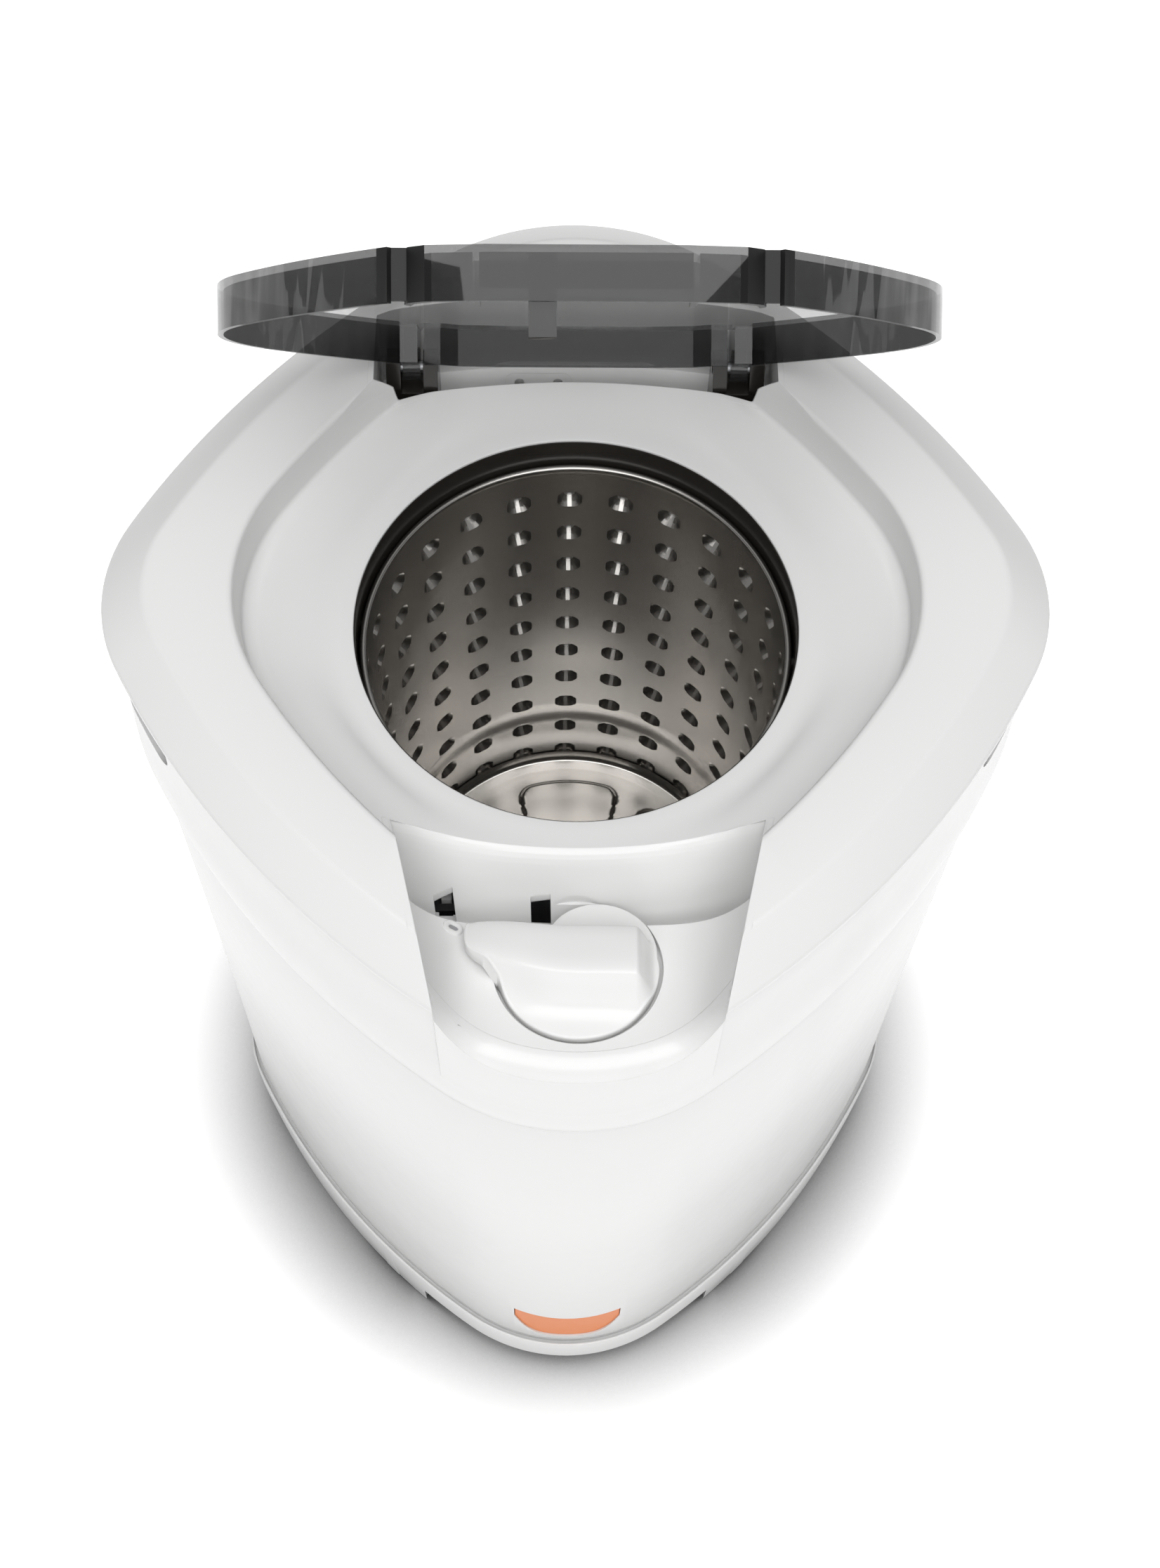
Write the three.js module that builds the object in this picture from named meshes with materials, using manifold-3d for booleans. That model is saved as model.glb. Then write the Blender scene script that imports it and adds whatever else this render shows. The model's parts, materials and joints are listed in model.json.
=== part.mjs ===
// Top-loading laundry spin dryer with a rounded diamond plan, a smoked hinged lid that stands open,
// a timer knob on the front corner and a perforated steel drum on a rubber-mounted motor.
// Millimetres, +Z up, front towards -Y. The floor is z = 0 and the drum axis is x = y = 0.
import * as THREE from 'three';
import { mergeVertices } from 'three/addons/utils/BufferGeometryUtils.js';
import Module from 'manifold-3d';

const wasm = await Module();
wasm.setup();

// ---------------------------------------------------------------- driving dimensions
const CLEARANCE = 0.3;              // gap kept between two pieces that seat on each other
const PLAN_STEPS = 48;              // points round each moulding's outline
const TURN_STEPS = 32;              // points round each turned piece

// Outlines: two tip radii joined by one long side arc, in each quarter.
const RIM = { halfWidth: 233.5, halfDepth: 238, sideTip: 90, frontTip: 120, sideArc: 484 };
const WELL = { halfWidth: 167.5, halfDepth: 173.5, sideTip: 104, frontTip: 114, sideArc: 450 };

const OPENING_RADIUS = 112;
const DECK_Z = 640;                 // edge of the round opening
const RIM_Z = DECK_Z + 25;          // top of the rim's outer edge
const PLATEAU_Z = RIM_Z + 14;       // flat shoulder round the lid well
const CHAMFER_WIDTH = 22;
const RIM_LIP = 5;                  // height of the rim's vertical edge
const GROOVE_Z = DECK_Z + 14;       // floor of the groove that takes the lid's skirt
const WELL_DRAFT = 1.5;
const GROOVE_WIDTH = 7;
const TOP_WALL = 3;
const CHEEK_INSET = 11.5;           // cheeks end inside the collar's wall
const OPENING_LIP = 8;

const COLLAR_TUCK = 5;              // collar lies this far inside the rim's edge
const COLLAR_BULGE_Z = 552;         // widest line of the collar, above the cove
const COLLAR_BOTTOM_Z = 538;
const GRIP_LENGTH = 150;            // hand holes at the side tips
const GRIP_HEIGHT = 32;
const GRIP_Z = RIM_Z - 33;
const BODY_INSET = 6;
const SHELL_WALL = 3;
const SEAM_Z = 74;                  // joint between body shell and base
const SEAM_STEP = 2;                // the base stands this far inside the body's face
const ARCH_HEIGHT = 38;             // gap under the front and rear corners of the base
const ARCH_HALF_WIDTH = 101;
const FOOT_HEIGHT = 5;
const FOOT_RADIUS = 15;
const FOOT_INSET = { x: 121.5, y: 86 };   // foot centres, in from the side and front tips
const FOOT_X = RIM.halfWidth - FOOT_INSET.x;
const FOOT_Y = RIM.halfDepth - FOOT_INSET.y;
const FOOT_TO_ARCH = 7;             // the arches start this far beyond the feet

const CHEEK_REAR = { x: 92, y: -107 };   // side walls of the front cut-out
const CHEEK_FRONT = { x: 64, y: -226 };
const APRON_TOP_RADIUS = 129;
const APRON_FOOT_RADIUS = APRON_TOP_RADIUS + 21;
const APRON_FOOT_Z = DECK_Z - 34;
const DITCH_Z = DECK_Z - 44;        // floor of the ditch that takes the lid's nose
const DITCH_SHELF = 12;             // the ditch floor runs this far in under the apron's foot
const PANEL_REAR_Y = -(APRON_FOOT_RADIUS + 8);
const PANEL_Z = DECK_Z - 15.3;      // bottom of the control scoop at the knob's centre
const SCOOP_DEPTH = 33;             // the scoop rises this much from its middle to the cheeks
const PANEL_BORDER = 12;            // width of the rounded border in front of the scoop
const PANEL_BORDER_DROP = 8;
const PANEL_TILT = 8;               // degrees: the scoop rises towards the front
const KNOB_CENTRE_Y = -181;
const KNOB_RADIUS = 39;
const KNOB_THICKNESS = 8;
const KNOB_BAR_WIDTH = 22;
const KNOB_BAR_FLARE = 3;           // half-width gained towards the bar's tail
const KNOB_BAR_TAIL = 31;
const POINTER_REACH = 54;
const KNOB_BAR_HEIGHT = 20;
const KNOB_BAR_REACH = 50;
const DISH_GAP = 1.2;
const DISH_DEPTH = 4;
const CUP_WALL = 2.5;
const KNOB_REST_ANGLE = 11;         // degrees: the pointer stands at the zero mark, left and a little back
const TIMER_SHAFT_RADIUS = 3;
const TIMER_SHAFT_DEPTH = 14;       // the shaft reaches this far into the timer
const TIMER_CAN_RADIUS = 19;
const TIMER_CAN_HEIGHT = 36;
const KNOB_TIP_LIFT = 7.3;          // the pointer's underside clears the scoop's rising side

const VALLEY_HALF_WIDTH = 104;      // hinge channel behind the deck
const VALLEY_Z = DECK_Z - 18;
const DECK_REAR_RADIUS = 240;       // arc of the deck's rear edge
const DECK_REAR_Y = 145;
const VALLEY_REAR_RADIUS = 500;     // arc of the channel's rear wall
const VALLEY_REAR_Y = 176;
const SCREW_X = [-30, -9];          // two screw holes on a low pad in the channel
const SCREW_Y = 163;
const SCREW_PAD_WIDTH = 36;
const HINGE_Y = 147;
const HINGE_Z = DECK_Z + 17;
const HINGE_X = 86;
const HINGE_PIN_RADIUS = 3;
const HINGE_BLOCK = { width: 27, depth: 22, height: 41 };
const LID_OPEN = 56.5;                // degrees from closed, as the lid stands in the photograph
const LID_GAP = 3;
const LID_WALL = 2.6;
const LID_PLATE_Z = PLATEAU_Z - 1;
const LID_SKIRT = 21.5;
const LID_REAR_Y = 151;
const LID_WAIST_Y = 133.5;          // the lid's rear edge passes in front of the hinge blocks here
const LID_NOSE_Y = -148;
const LID_NOSE_HALF_WIDTH = 72;
const LID_ARM_WIDTH = 9;
const HOOK_X = -17;
const HOOK_SETBACK = 5;             // hook stands this far behind the nose's wall
const HOOK_WIDTH = 11;
const HOOK_LENGTH = 33;
const HINGE_EYE = 7.5;
const LID_RIB_X = 43;

const DRUM_RADIUS = 109;
const DRUM_WALL = 1.2;
const DRUM_TOP_Z = 622;
const DRUM_FLOOR_Z = 292;
const DRUM_BEAD = 3;
const SPLASH_RADIUS = 111.5;        // black guard ring between opening and drum
const SPLASH_BOTTOM_Z = 604;
const TUB_RADIUS = 124;
const TUB_WALL = 3;
const TUB_BOSS_WALL = 12;          // ring under the tub that stands on the motor
const TUB_FLOOR_Z = 268;
const TUB_TOP_Z = 600;
const MOTOR_RADIUS = 62;
const MOTOR_TOP_Z = 232;
const MOTOR_BOTTOM_Z = 118;
const SHAFT_RADIUS = 7;
const BRACKET_Z = 100;
const BRACKET_THICKNESS = 6;
const BRACKET_RADIUS = 118;
const MOUNT_CIRCLE = 100;
const MOUNT_RADIUS = 16;
const BASE_FLOOR_Z = 62;
const SLOT_SIZE = 9;
const SLOT_CIRCLE = APRON_FOOT_RADIUS - 4;
const SLOT_X = [-64, -17];
const INTERLOCK_HEIGHT = 26;
const PLUNGER_SIZE = 5;
const PLUNGER_DEPTH = 14;           // depth of the plunger's well in the switch
const PLUNGER_TRAVEL = 3.5;
const HUB_RADIUS = 26;
const HUB_HEIGHT = 34;
const DRUM_PADS = 6;
const DRUM_PAD = { width: 34, length: 42, corner: 12, reach: 66, sunk: 1, top: 5.2 };
const MOUNT_STUD = 30;
const DRAIN_X = -70;
const DRAIN_PILLAR = { width: 34, thickness: 8, height: 20, setback: 70 };
const DRAIN_Z = 104;
const DRAIN_RADIUS = 13;
const DRAIN_LENGTH = 70;
const CAPACITOR = { radius: 17, height: 58, sides: 28, y: -128 };
const GLAND_X = 70;
const GLAND_Z = 104;
const GLAND_RADIUS = 9;
const BADGE_WIDTH = 71;
const BADGE_END_Z = 160;
const BADGE_TOP_SAG = 26;           // the crescent's top line drops this far in its middle
const BADGE_BOTTOM_SAG = 76;
const BADGE_POCKET = 12;            // depth of its pocket behind the cabinet's front tip
const BADGE_Y = -RIM.halfDepth + BADGE_POCKET;
const BADGE_REACH = 26;             // depth of the block the badge is cut from
const BADGE_SKIN = { outer: 0.4, inner: 2.4, over: 20 };   // faces inside the body's face, and height above the tips

// ---------------------------------------------------------------- outlines and solids
const rad = THREE.MathUtils.degToRad;

// Distance from the axis to a rounded diamond, inset by t, along the direction phi.
function diamondRadius(outline, t, phi) {
  const a = outline.halfWidth - t;
  const b = outline.halfDepth - t;
  const ra = outline.sideTip - t;
  const rb = outline.frontTip - t;
  const rs = outline.sideArc - t;
  const side = new THREE.Vector2(a - ra, 0);
  const front = new THREE.Vector2(0, b - rb);
  const link = front.clone().sub(side);
  const length = link.length();
  const along = ((rs - ra) ** 2 - (rs - rb) ** 2 + length ** 2) / (2 * length);
  const across = Math.sqrt((rs - ra) ** 2 - along ** 2);
  const normal = new THREE.Vector2(-link.y, link.x).divideScalar(length);
  if (normal.x > 0) normal.negate();
  const middle = side.clone().addScaledVector(link, along / length).addScaledVector(normal, across);
  const sideTangent = side.clone().addScaledVector(side.clone().sub(middle).normalize(), ra);
  const frontTangent = front.clone().addScaledVector(front.clone().sub(middle).normalize(), rb);
  const ray = new THREE.Vector2(Math.abs(Math.cos(phi)), Math.abs(Math.sin(phi)));
  const angle = ray.angle();
  const [centre, radius] = angle < sideTangent.angle() ? [side, ra]
    : angle < frontTangent.angle() ? [middle, rs] : [front, rb];
  const reach = ray.dot(centre);
  return reach + Math.sqrt(reach ** 2 - centre.lengthSq() + radius ** 2);
}

const onRim = (inset, z) => ({ z, radius: phi => diamondRadius(RIM, inset, phi) });
const onWell = (inset, z) => ({ z, radius: phi => diamondRadius(WELL, inset, phi) });
const onCircle = (r, z) => ({ z, radius: () => r });

// Closed wall whose section is the list of rings, taken in order round the section.
function loft(rings, steps = PLAN_STEPS) {
  const points = [];
  const faces = [];
  for (const ring of rings) {
    for (let i = 0; i < steps; i++) {
      const phi = 2 * Math.PI * i / steps;
      const r = ring.radius(phi);
      points.push(r * Math.cos(phi), r * Math.sin(phi), ring.z);
    }
  }
  for (let k = 0; k < rings.length; k++) {
    const next = (k + 1) % rings.length;
    for (let i = 0; i < steps; i++) {
      const j = (i + 1) % steps;
      const [p, q, r, s] = [k * steps + i, k * steps + j, next * steps + j, next * steps + i];
      faces.push(p, q, r, p, r, s);
    }
  }
  return outward(points, faces);
}

// Closed block between stacked rings, with a flat cap on the first and last.
function stack(rings, steps = PLAN_STEPS) {
  const points = [];
  const faces = [];
  for (const ring of rings) {
    for (let i = 0; i < steps; i++) {
      const phi = 2 * Math.PI * i / steps;
      const r = ring.radius(phi);
      points.push(r * Math.cos(phi), r * Math.sin(phi), ring.z);
    }
  }
  for (let k = 0; k + 1 < rings.length; k++) {
    for (let i = 0; i < steps; i++) {
      const j = (i + 1) % steps;
      const [p, q, r, s] = [k * steps + i, k * steps + j, (k + 1) * steps + j, (k + 1) * steps + i];
      faces.push(p, q, r, p, r, s);
    }
  }
  for (const [k, flip] of [[0, true], [rings.length - 1, false]]) {
    const centre = points.length / 3;
    points.push(0, 0, rings[k].z);
    for (let i = 0; i < steps; i++) {
      const j = (i + 1) % steps;
      if (flip) faces.push(centre, k * steps + j, k * steps + i);
      else faces.push(centre, k * steps + i, k * steps + j);
    }
  }
  return outward(points, faces);
}

// Grid solid: a surface of rows and columns of points, thickened by the second surface below it.
function slab(upper, lower, rows, columns) {
  const points = [];
  const faces = [];
  for (const surface of [upper, lower]) {
    for (let i = 0; i <= rows; i++) {
      for (let j = 0; j <= columns; j++) points.push(...surface(i / rows, j / columns));
    }
  }
  const width = columns + 1;
  const layer = (rows + 1) * width;
  const quad = (a, b, c, d) => faces.push(a, b, c, a, c, d);
  for (let i = 0; i < rows; i++) {
    for (let j = 0; j < columns; j++) {
      const a = i * width + j;
      quad(a, a + 1, a + width + 1, a + width);
      quad(layer + a, layer + a + width, layer + a + width + 1, layer + a + 1);
    }
  }
  const wall = (a, b) => quad(a, layer + a, layer + b, b);
  for (let j = 0; j < columns; j++) {
    wall(j, j + 1);
    wall(rows * width + j + 1, rows * width + j);
  }
  for (let i = 0; i < rows; i++) {
    wall((i + 1) * width, i * width);
    wall(i * width + columns, (i + 1) * width + columns);
  }
  return outward(points, faces);
}

// Turns the faces over when the closed mesh came out inside out.
function outward(points, faces) {
  let volume = 0;
  const corner = i => new THREE.Vector3().fromArray(points, 3 * i);
  for (let i = 0; i < faces.length; i += 3) {
    volume += corner(faces[i]).dot(corner(faces[i + 1]).cross(corner(faces[i + 2])));
  }
  const index = volume < 0 ? faces.slice().reverse() : faces;
  const geometry = new THREE.BufferGeometry();
  geometry.setAttribute('position', new THREE.Float32BufferAttribute(points, 3));
  geometry.setIndex(index);
  return geometry;
}

function turned(profile, steps = TURN_STEPS) {
  const closed = profile[0][0] === 0 ? profile : [...profile, profile[0]];
  const lathe = new THREE.LatheGeometry(closed.map(([r, z]) => new THREE.Vector2(r, z)), steps);
  lathe.rotateX(Math.PI / 2);
  return solid(lathe);
}

function tubeWall(outer, inner, low, high, steps = TURN_STEPS) {
  return turned([[outer, low], [outer, high], [inner, high], [inner, low]], steps);
}

function rod(radius, low, high, steps = 24) {
  return turned([[0, low], [radius, low], [radius, high], [0, high]], steps);
}

function block(width, depth, height) {
  return solid(new THREE.BoxGeometry(width, depth, height));
}

function prism(points, low, high) {
  const shape = points instanceof THREE.Shape ? points
    : new THREE.Shape(points.map(([x, y]) => new THREE.Vector2(x, y)));
  const geometry = new THREE.ExtrudeGeometry(shape, { depth: high - low, bevelEnabled: false, curveSegments: 2 });
  geometry.translate(0, 0, low);
  return solid(geometry);
}

// Mesh geometry with shared corners merged, as a solid that can be joined and cut.
function solid(geometry) {
  const bare = geometry.index ? geometry.toNonIndexed() : geometry.clone();
  bare.deleteAttribute('normal');
  bare.deleteAttribute('uv');
  const merged = mergeVertices(bare, 1e-4);
  const index = Array.from(merged.index.array);
  const kept = [];
  for (let i = 0; i < index.length; i += 3) {
    const [a, b, c] = index.slice(i, i + 3);
    if (a !== b && b !== c && c !== a) kept.push(a, b, c);
  }
  const body = new wasm.Manifold(new wasm.Mesh({
    numProp: 3,
    vertProperties: new Float32Array(merged.attributes.position.array),
    triVerts: new Uint32Array(kept),
  }));
  return body.volume() < 0 ? flipped(merged, kept) : body;
}

function flipped(merged, index) {
  const turnedOver = [];
  for (let i = 0; i < index.length; i += 3) turnedOver.push(index[i], index[i + 2], index[i + 1]);
  return new wasm.Manifold(new wasm.Mesh({
    numProp: 3,
    vertProperties: new Float32Array(merged.attributes.position.array),
    triVerts: new Uint32Array(turnedOver),
  }));
}

function toGeometry(body) {
  const mesh = body.getMesh();
  const geometry = new THREE.BufferGeometry();
  const positions = new Float32Array(mesh.vertProperties);
  geometry.setAttribute('position', new THREE.BufferAttribute(positions, 3));
  geometry.setIndex(Array.from(mesh.triVerts));
  const flat = geometry.toNonIndexed();
  flat.computeVertexNormals();
  return flat;
}

const joined = bodies => bodies.reduce((sum, body) => sum.add(body));
const moved = (body, x, y, z) => body.translate([x, y, z]);

const machine = new THREE.Group();

function piece(parent, name, body, finish) {
  const material = new THREE.MeshStandardMaterial(finish);
  const mesh = new THREE.Mesh(toGeometry(body), material);
  mesh.name = name;
  parent.add(mesh);
  return mesh;
}

// ---------------------------------------------------------------- finishes
const WHITE_PLASTIC = { color: 0xf3f3f2, roughness: 0.3, metalness: 0 };
const BLACK_PLASTIC = { color: 0x1c1916, roughness: 0.3, metalness: 0 };
const DARK_PLASTIC = { color: 0x33343a, roughness: 0.5, metalness: 0 };
const GREY_PLASTIC = { color: 0x9a9b9c, roughness: 0.5, metalness: 0 };
const SMOKE = { color: 0x6d6c6b, roughness: 0.1, metalness: 0, transparent: true, opacity: 0.5 };
const ORANGE = { color: 0xe8894a, roughness: 0.35, metalness: 0 };
const STAINLESS = { color: 0xa39d97, roughness: 0.28, metalness: 1 };
const STEEL = { color: 0x8d9196, roughness: 0.4, metalness: 1 };
const MOTOR_PAINT = { color: 0x4a4d52, roughness: 0.5, metalness: 0.4 };
const RUBBER = { color: 0x202122, roughness: 0.85, metalness: 0 };

// ---------------------------------------------------------------- front cut-out plan
// The cheeks are straight in plan and lean towards the front tip.
function cheekX(y, gap = 0) {
  const share = (y - CHEEK_REAR.y) / (CHEEK_FRONT.y - CHEEK_REAR.y);
  return CHEEK_REAR.x + share * (CHEEK_FRONT.x - CHEEK_REAR.x) - gap;
}

// Plan of the front cut-out: two cheeks and the arc of the deck's front edge.
function frontPlan(gap, rearRadius, frontY) {
  const shape = new THREE.Shape();
  const rearX = CHEEK_REAR.x - gap;
  const rearY = -Math.sqrt(Math.max(rearRadius ** 2 - rearX ** 2, 1));
  const start = Math.atan2(rearY, rearX);
  shape.moveTo(cheekX(frontY, gap), frontY);
  const steps = 16;
  for (let i = 0; i <= steps; i++) {
    const phi = start + (-Math.PI - 2 * start) * i / steps;
    shape.lineTo(rearRadius * Math.cos(phi), rearRadius * Math.sin(phi));
  }
  shape.lineTo(-cheekX(frontY, gap), frontY);
  shape.closePath();
  return shape;
}

// Plan of the hinge channel: from the arc of the deck's rear edge back into the rear plateau.
function valleyPlan(inset) {
  const shape = new THREE.Shape();
  const half = VALLEY_HALF_WIDTH - inset;
  const arcY = (x, radius, topY) => topY - radius + Math.sqrt(radius ** 2 - x ** 2);
  const steps = 14;
  for (let i = 0; i <= steps; i++) {
    const x = half * (1 - 2 * i / steps);
    shape[i ? 'lineTo' : 'moveTo'](x, arcY(x, DECK_REAR_RADIUS, DECK_REAR_Y + inset));
  }
  for (let i = 0; i <= steps; i++) {
    const x = half * (2 * i / steps - 1);
    shape.lineTo(x, arcY(x, VALLEY_REAR_RADIUS, VALLEY_REAR_Y - inset));
  }
  shape.closePath();
  return shape;
}

// ---------------------------------------------------------------- top panel
function topPanel() {
  const under = TOP_WALL;
  const shell = solid(loft([
    onRim(0.6, RIM_Z - RIM_LIP),
    onRim(0, RIM_Z - RIM_LIP + 1),
    onRim(0, RIM_Z - 0.8),
    onRim(0.8, RIM_Z),
    onRim(CHAMFER_WIDTH, PLATEAU_Z - 0.6),
    onRim(CHAMFER_WIDTH + 3, PLATEAU_Z),
    onWell(-1.2, PLATEAU_Z),
    onWell(0, PLATEAU_Z - 1.2),
    onWell(WELL_DRAFT, GROOVE_Z + 1),
    onWell(WELL_DRAFT + GROOVE_WIDTH, GROOVE_Z),
    onWell(24, DECK_Z + 8),
    onCircle(OPENING_RADIUS + 12, DECK_Z + 2.2),
    onCircle(OPENING_RADIUS + 3, DECK_Z + 0.8),
    onCircle(OPENING_RADIUS, DECK_Z - 1.5),
    onCircle(OPENING_RADIUS, DECK_Z - OPENING_LIP),
    onCircle(OPENING_RADIUS + under, DECK_Z - OPENING_LIP),
    onCircle(OPENING_RADIUS + under + 1, DECK_Z - 2.5),
    onCircle(OPENING_RADIUS + 12, DECK_Z + 2.2 - under),
    onWell(24, DECK_Z + 8 - under),
    onWell(WELL_DRAFT + GROOVE_WIDTH, GROOVE_Z - under),
    onWell(WELL_DRAFT - under, GROOVE_Z - under),
    onWell(-under, PLATEAU_Z - under - 1),
    onRim(CHAMFER_WIDTH + 3, PLATEAU_Z - under),
    onRim(under + 0.6, RIM_Z - 2),
    onRim(under + 0.6, RIM_Z - RIM_LIP),
  ]));
  const frontCut = prism(frontPlan(0, APRON_TOP_RADIUS, -RIM.halfDepth - 10), DITCH_Z - 20, PLATEAU_Z + 10);
  const valleyCut = prism(valleyPlan(0), VALLEY_Z, PLATEAU_Z + 5);
  const panel = shell.subtract(frontCut).subtract(valleyCut);
  return joined([panel, apron(), valleyTray(), ...cheeks()])
    .subtract(joined([...latchSlots(), hingeRelief(-1), hingeRelief(1)])).subtract(cupSpace());
}

// Rounds the well's wall beside the hinges about the hinge line, so that the lid's skirt swings past it.
function hingeRelief(side) {
  const near = VALLEY_HALF_WIDTH - 14;
  const far = VALLEY_HALF_WIDTH + 18;
  const skirtY = x => {
    let [low, high] = [0, Math.PI / 2];
    for (let i = 0; i < 30; i++) {
      const phi = (low + high) / 2;
      if (diamondRadius(WELL, LID_GAP, phi) * Math.cos(phi) > x) low = phi;
      else high = phi;
    }
    return diamondRadius(WELL, LID_GAP, low) * Math.sin(low);
  };
  const skin = top => (row, column) => {
    const x = near + (far - near) * row;
    const edge = skirtY(x);
    const y = edge + 0.8 + 16 * column;
    const swing = HINGE_Y - edge - 1;
    const z = HINGE_Z + Math.sqrt(Math.max(swing ** 2 - (HINGE_Y - y) ** 2, 0));
    return [side * x, y, top ? PLATEAU_Z + 20 : z];
  };
  return solid(slab(skin(true), skin(false), 6, 6));
}

// Round space that the knob turns in.
function knobSpace(gap, deeper = 0) {
  return onKnobAxis(rod(KNOB_RADIUS + gap, -DISH_DEPTH - deeper, 60, TURN_STEPS));
}

// Room for the knob's cup with its clearance.
function cupSpace() {
  return knobSpace(DISH_GAP + CUP_WALL + CLEARANCE, CUP_WALL + CLEARANCE);
}

// Everything below the top panel's outer surface, filled.
function topEnvelope() {
  return solid(stack([
    onRim(0.6, DITCH_Z - 40),
    onRim(0.6, RIM_Z - RIM_LIP),
    onRim(0, RIM_Z - RIM_LIP + 1),
    onRim(0, RIM_Z - 0.8),
    onRim(0.8, RIM_Z),
    onRim(CHAMFER_WIDTH, PLATEAU_Z - 0.6),
    onRim(CHAMFER_WIDTH + 3, PLATEAU_Z),
  ]));
}

// The air over the deck, inside the lid well.
function wellAir() {
  return solid(stack([
    onCircle(OPENING_RADIUS + 12, DECK_Z + 2.2),
    onWell(24, DECK_Z + 8),
    onWell(WELL_DRAFT + GROOVE_WIDTH, GROOVE_Z),
    onWell(WELL_DRAFT, GROOVE_Z + 1),
    onWell(0, PLATEAU_Z - 1.2),
    onWell(-1.2, PLATEAU_Z),
    onWell(-1.2, PLATEAU_Z + 20),
  ]));
}

// Walls that hang from the plateau along both sides of the front cut-out.
function cheeks() {
  const rear = CHEEK_REAR.y - 8;
  const front = CHEEK_FRONT.y - 6;
  const envelope = topEnvelope().intersect(solid(stack([
    onRim(CHEEK_INSET, DITCH_Z - 1), onRim(CHEEK_INSET, RIM_Z - 2 + CLEARANCE), onRim(-5, RIM_Z - 1.2),
    onRim(-5, PLATEAU_Z + 1)])));
  const air = wellAir();
  return [-1, 1].map(side => {
    const plan = [
      [side * cheekX(rear), rear],
      [side * (cheekX(rear) + TOP_WALL), rear],
      [side * (cheekX(front) + TOP_WALL), front],
      [side * cheekX(front), front],
    ];
    const ordered = side > 0 ? plan.reverse() : plan;
    return prism(ordered, DITCH_Z, PLATEAU_Z - 0.5).intersect(envelope).subtract(air);
  });
}

// Slope under the deck's front edge, down to the floor of the ditch.
function apron() {
  const half = Math.asin(CHEEK_REAR.x / APRON_TOP_RADIUS) + 0.02;
  const levels = [
    [APRON_TOP_RADIUS, DECK_Z + 1.4], [APRON_TOP_RADIUS + 5, DECK_Z - 4],
    [(APRON_TOP_RADIUS + APRON_FOOT_RADIUS) / 2 + 2, (DECK_Z + APRON_FOOT_Z) / 2 - 1],
    [APRON_FOOT_RADIUS, APRON_FOOT_Z], [APRON_FOOT_RADIUS + 0.5, DITCH_Z + 1.3],
  ];
  const face = back => (row, column) => {
    const [radius, z] = levels[Math.round(row * (levels.length - 1))];
    const phi = -Math.PI / 2 + half * (2 * column - 1) * (1 - 0.26 * row);
    const r = radius - back;
    return [r * Math.cos(phi), r * Math.sin(phi), z - back * 0.3];
  };
  return solid(slab(face(0.1), face(TOP_WALL), levels.length - 1, 18));
}

// Floor and walls of the hinge channel, with the low pad that carries its screws.
function valleyTray() {
  const outer = prism(valleyPlan(-TOP_WALL), VALLEY_Z - TOP_WALL, PLATEAU_Z + 5);
  const hollow = prism(valleyPlan(0), VALLEY_Z, PLATEAU_Z + 10);
  const pad = prism(roundedPlan(SCREW_PAD_WIDTH, 13, 5), VALLEY_Z - 1, VALLEY_Z + 1.5)
    .translate([(SCREW_X[0] + SCREW_X[1]) / 2, SCREW_Y, 0]);
  const holes = SCREW_X.map(x => moved(rod(2.6, -10, 10, 12), x, SCREW_Y, VALLEY_Z));
  return outer.intersect(topEnvelope()).subtract(wellAir()).subtract(hollow).add(pad).subtract(joined(holes));
}

// Square holes in the apron for the lid's latch.
function latchSlots() {
  return SLOT_X.map(x => {
    const turn = THREE.MathUtils.radToDeg(Math.asin(x / SLOT_CIRCLE));
    return block(SLOT_SIZE, SLOT_SIZE, 40).rotate([0, 0, turn])
      .translate([x, -Math.sqrt(SLOT_CIRCLE ** 2 - x * x), APRON_FOOT_Z]);
  });
}

// ---------------------------------------------------------------- control panel and collar
// Height of the control scoop: flat across its middle, rising to the cheeks and to the front.
function scoopZ(x, y) {
  const across = Math.min(Math.abs(x) / cheekX(y), 1.1);
  return PANEL_Z + Math.tan(rad(PANEL_TILT)) * (KNOB_CENTRE_Y - y) + SCOOP_DEPTH * across ** 4;
}

// Front edge in plan of the rim outline, inset by t, at x.
function rimFrontY(x, inset) {
  let low = -Math.PI / 2;
  let high = x < 0 ? -Math.PI : 0;
  for (let i = 0; i < 40; i++) {
    const phi = (low + high) / 2;
    if (Math.abs(diamondRadius(RIM, inset, phi) * Math.cos(phi)) < Math.abs(x)) low = phi;
    else high = phi;
  }
  return diamondRadius(RIM, inset, low) * Math.sin(low);
}

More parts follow.
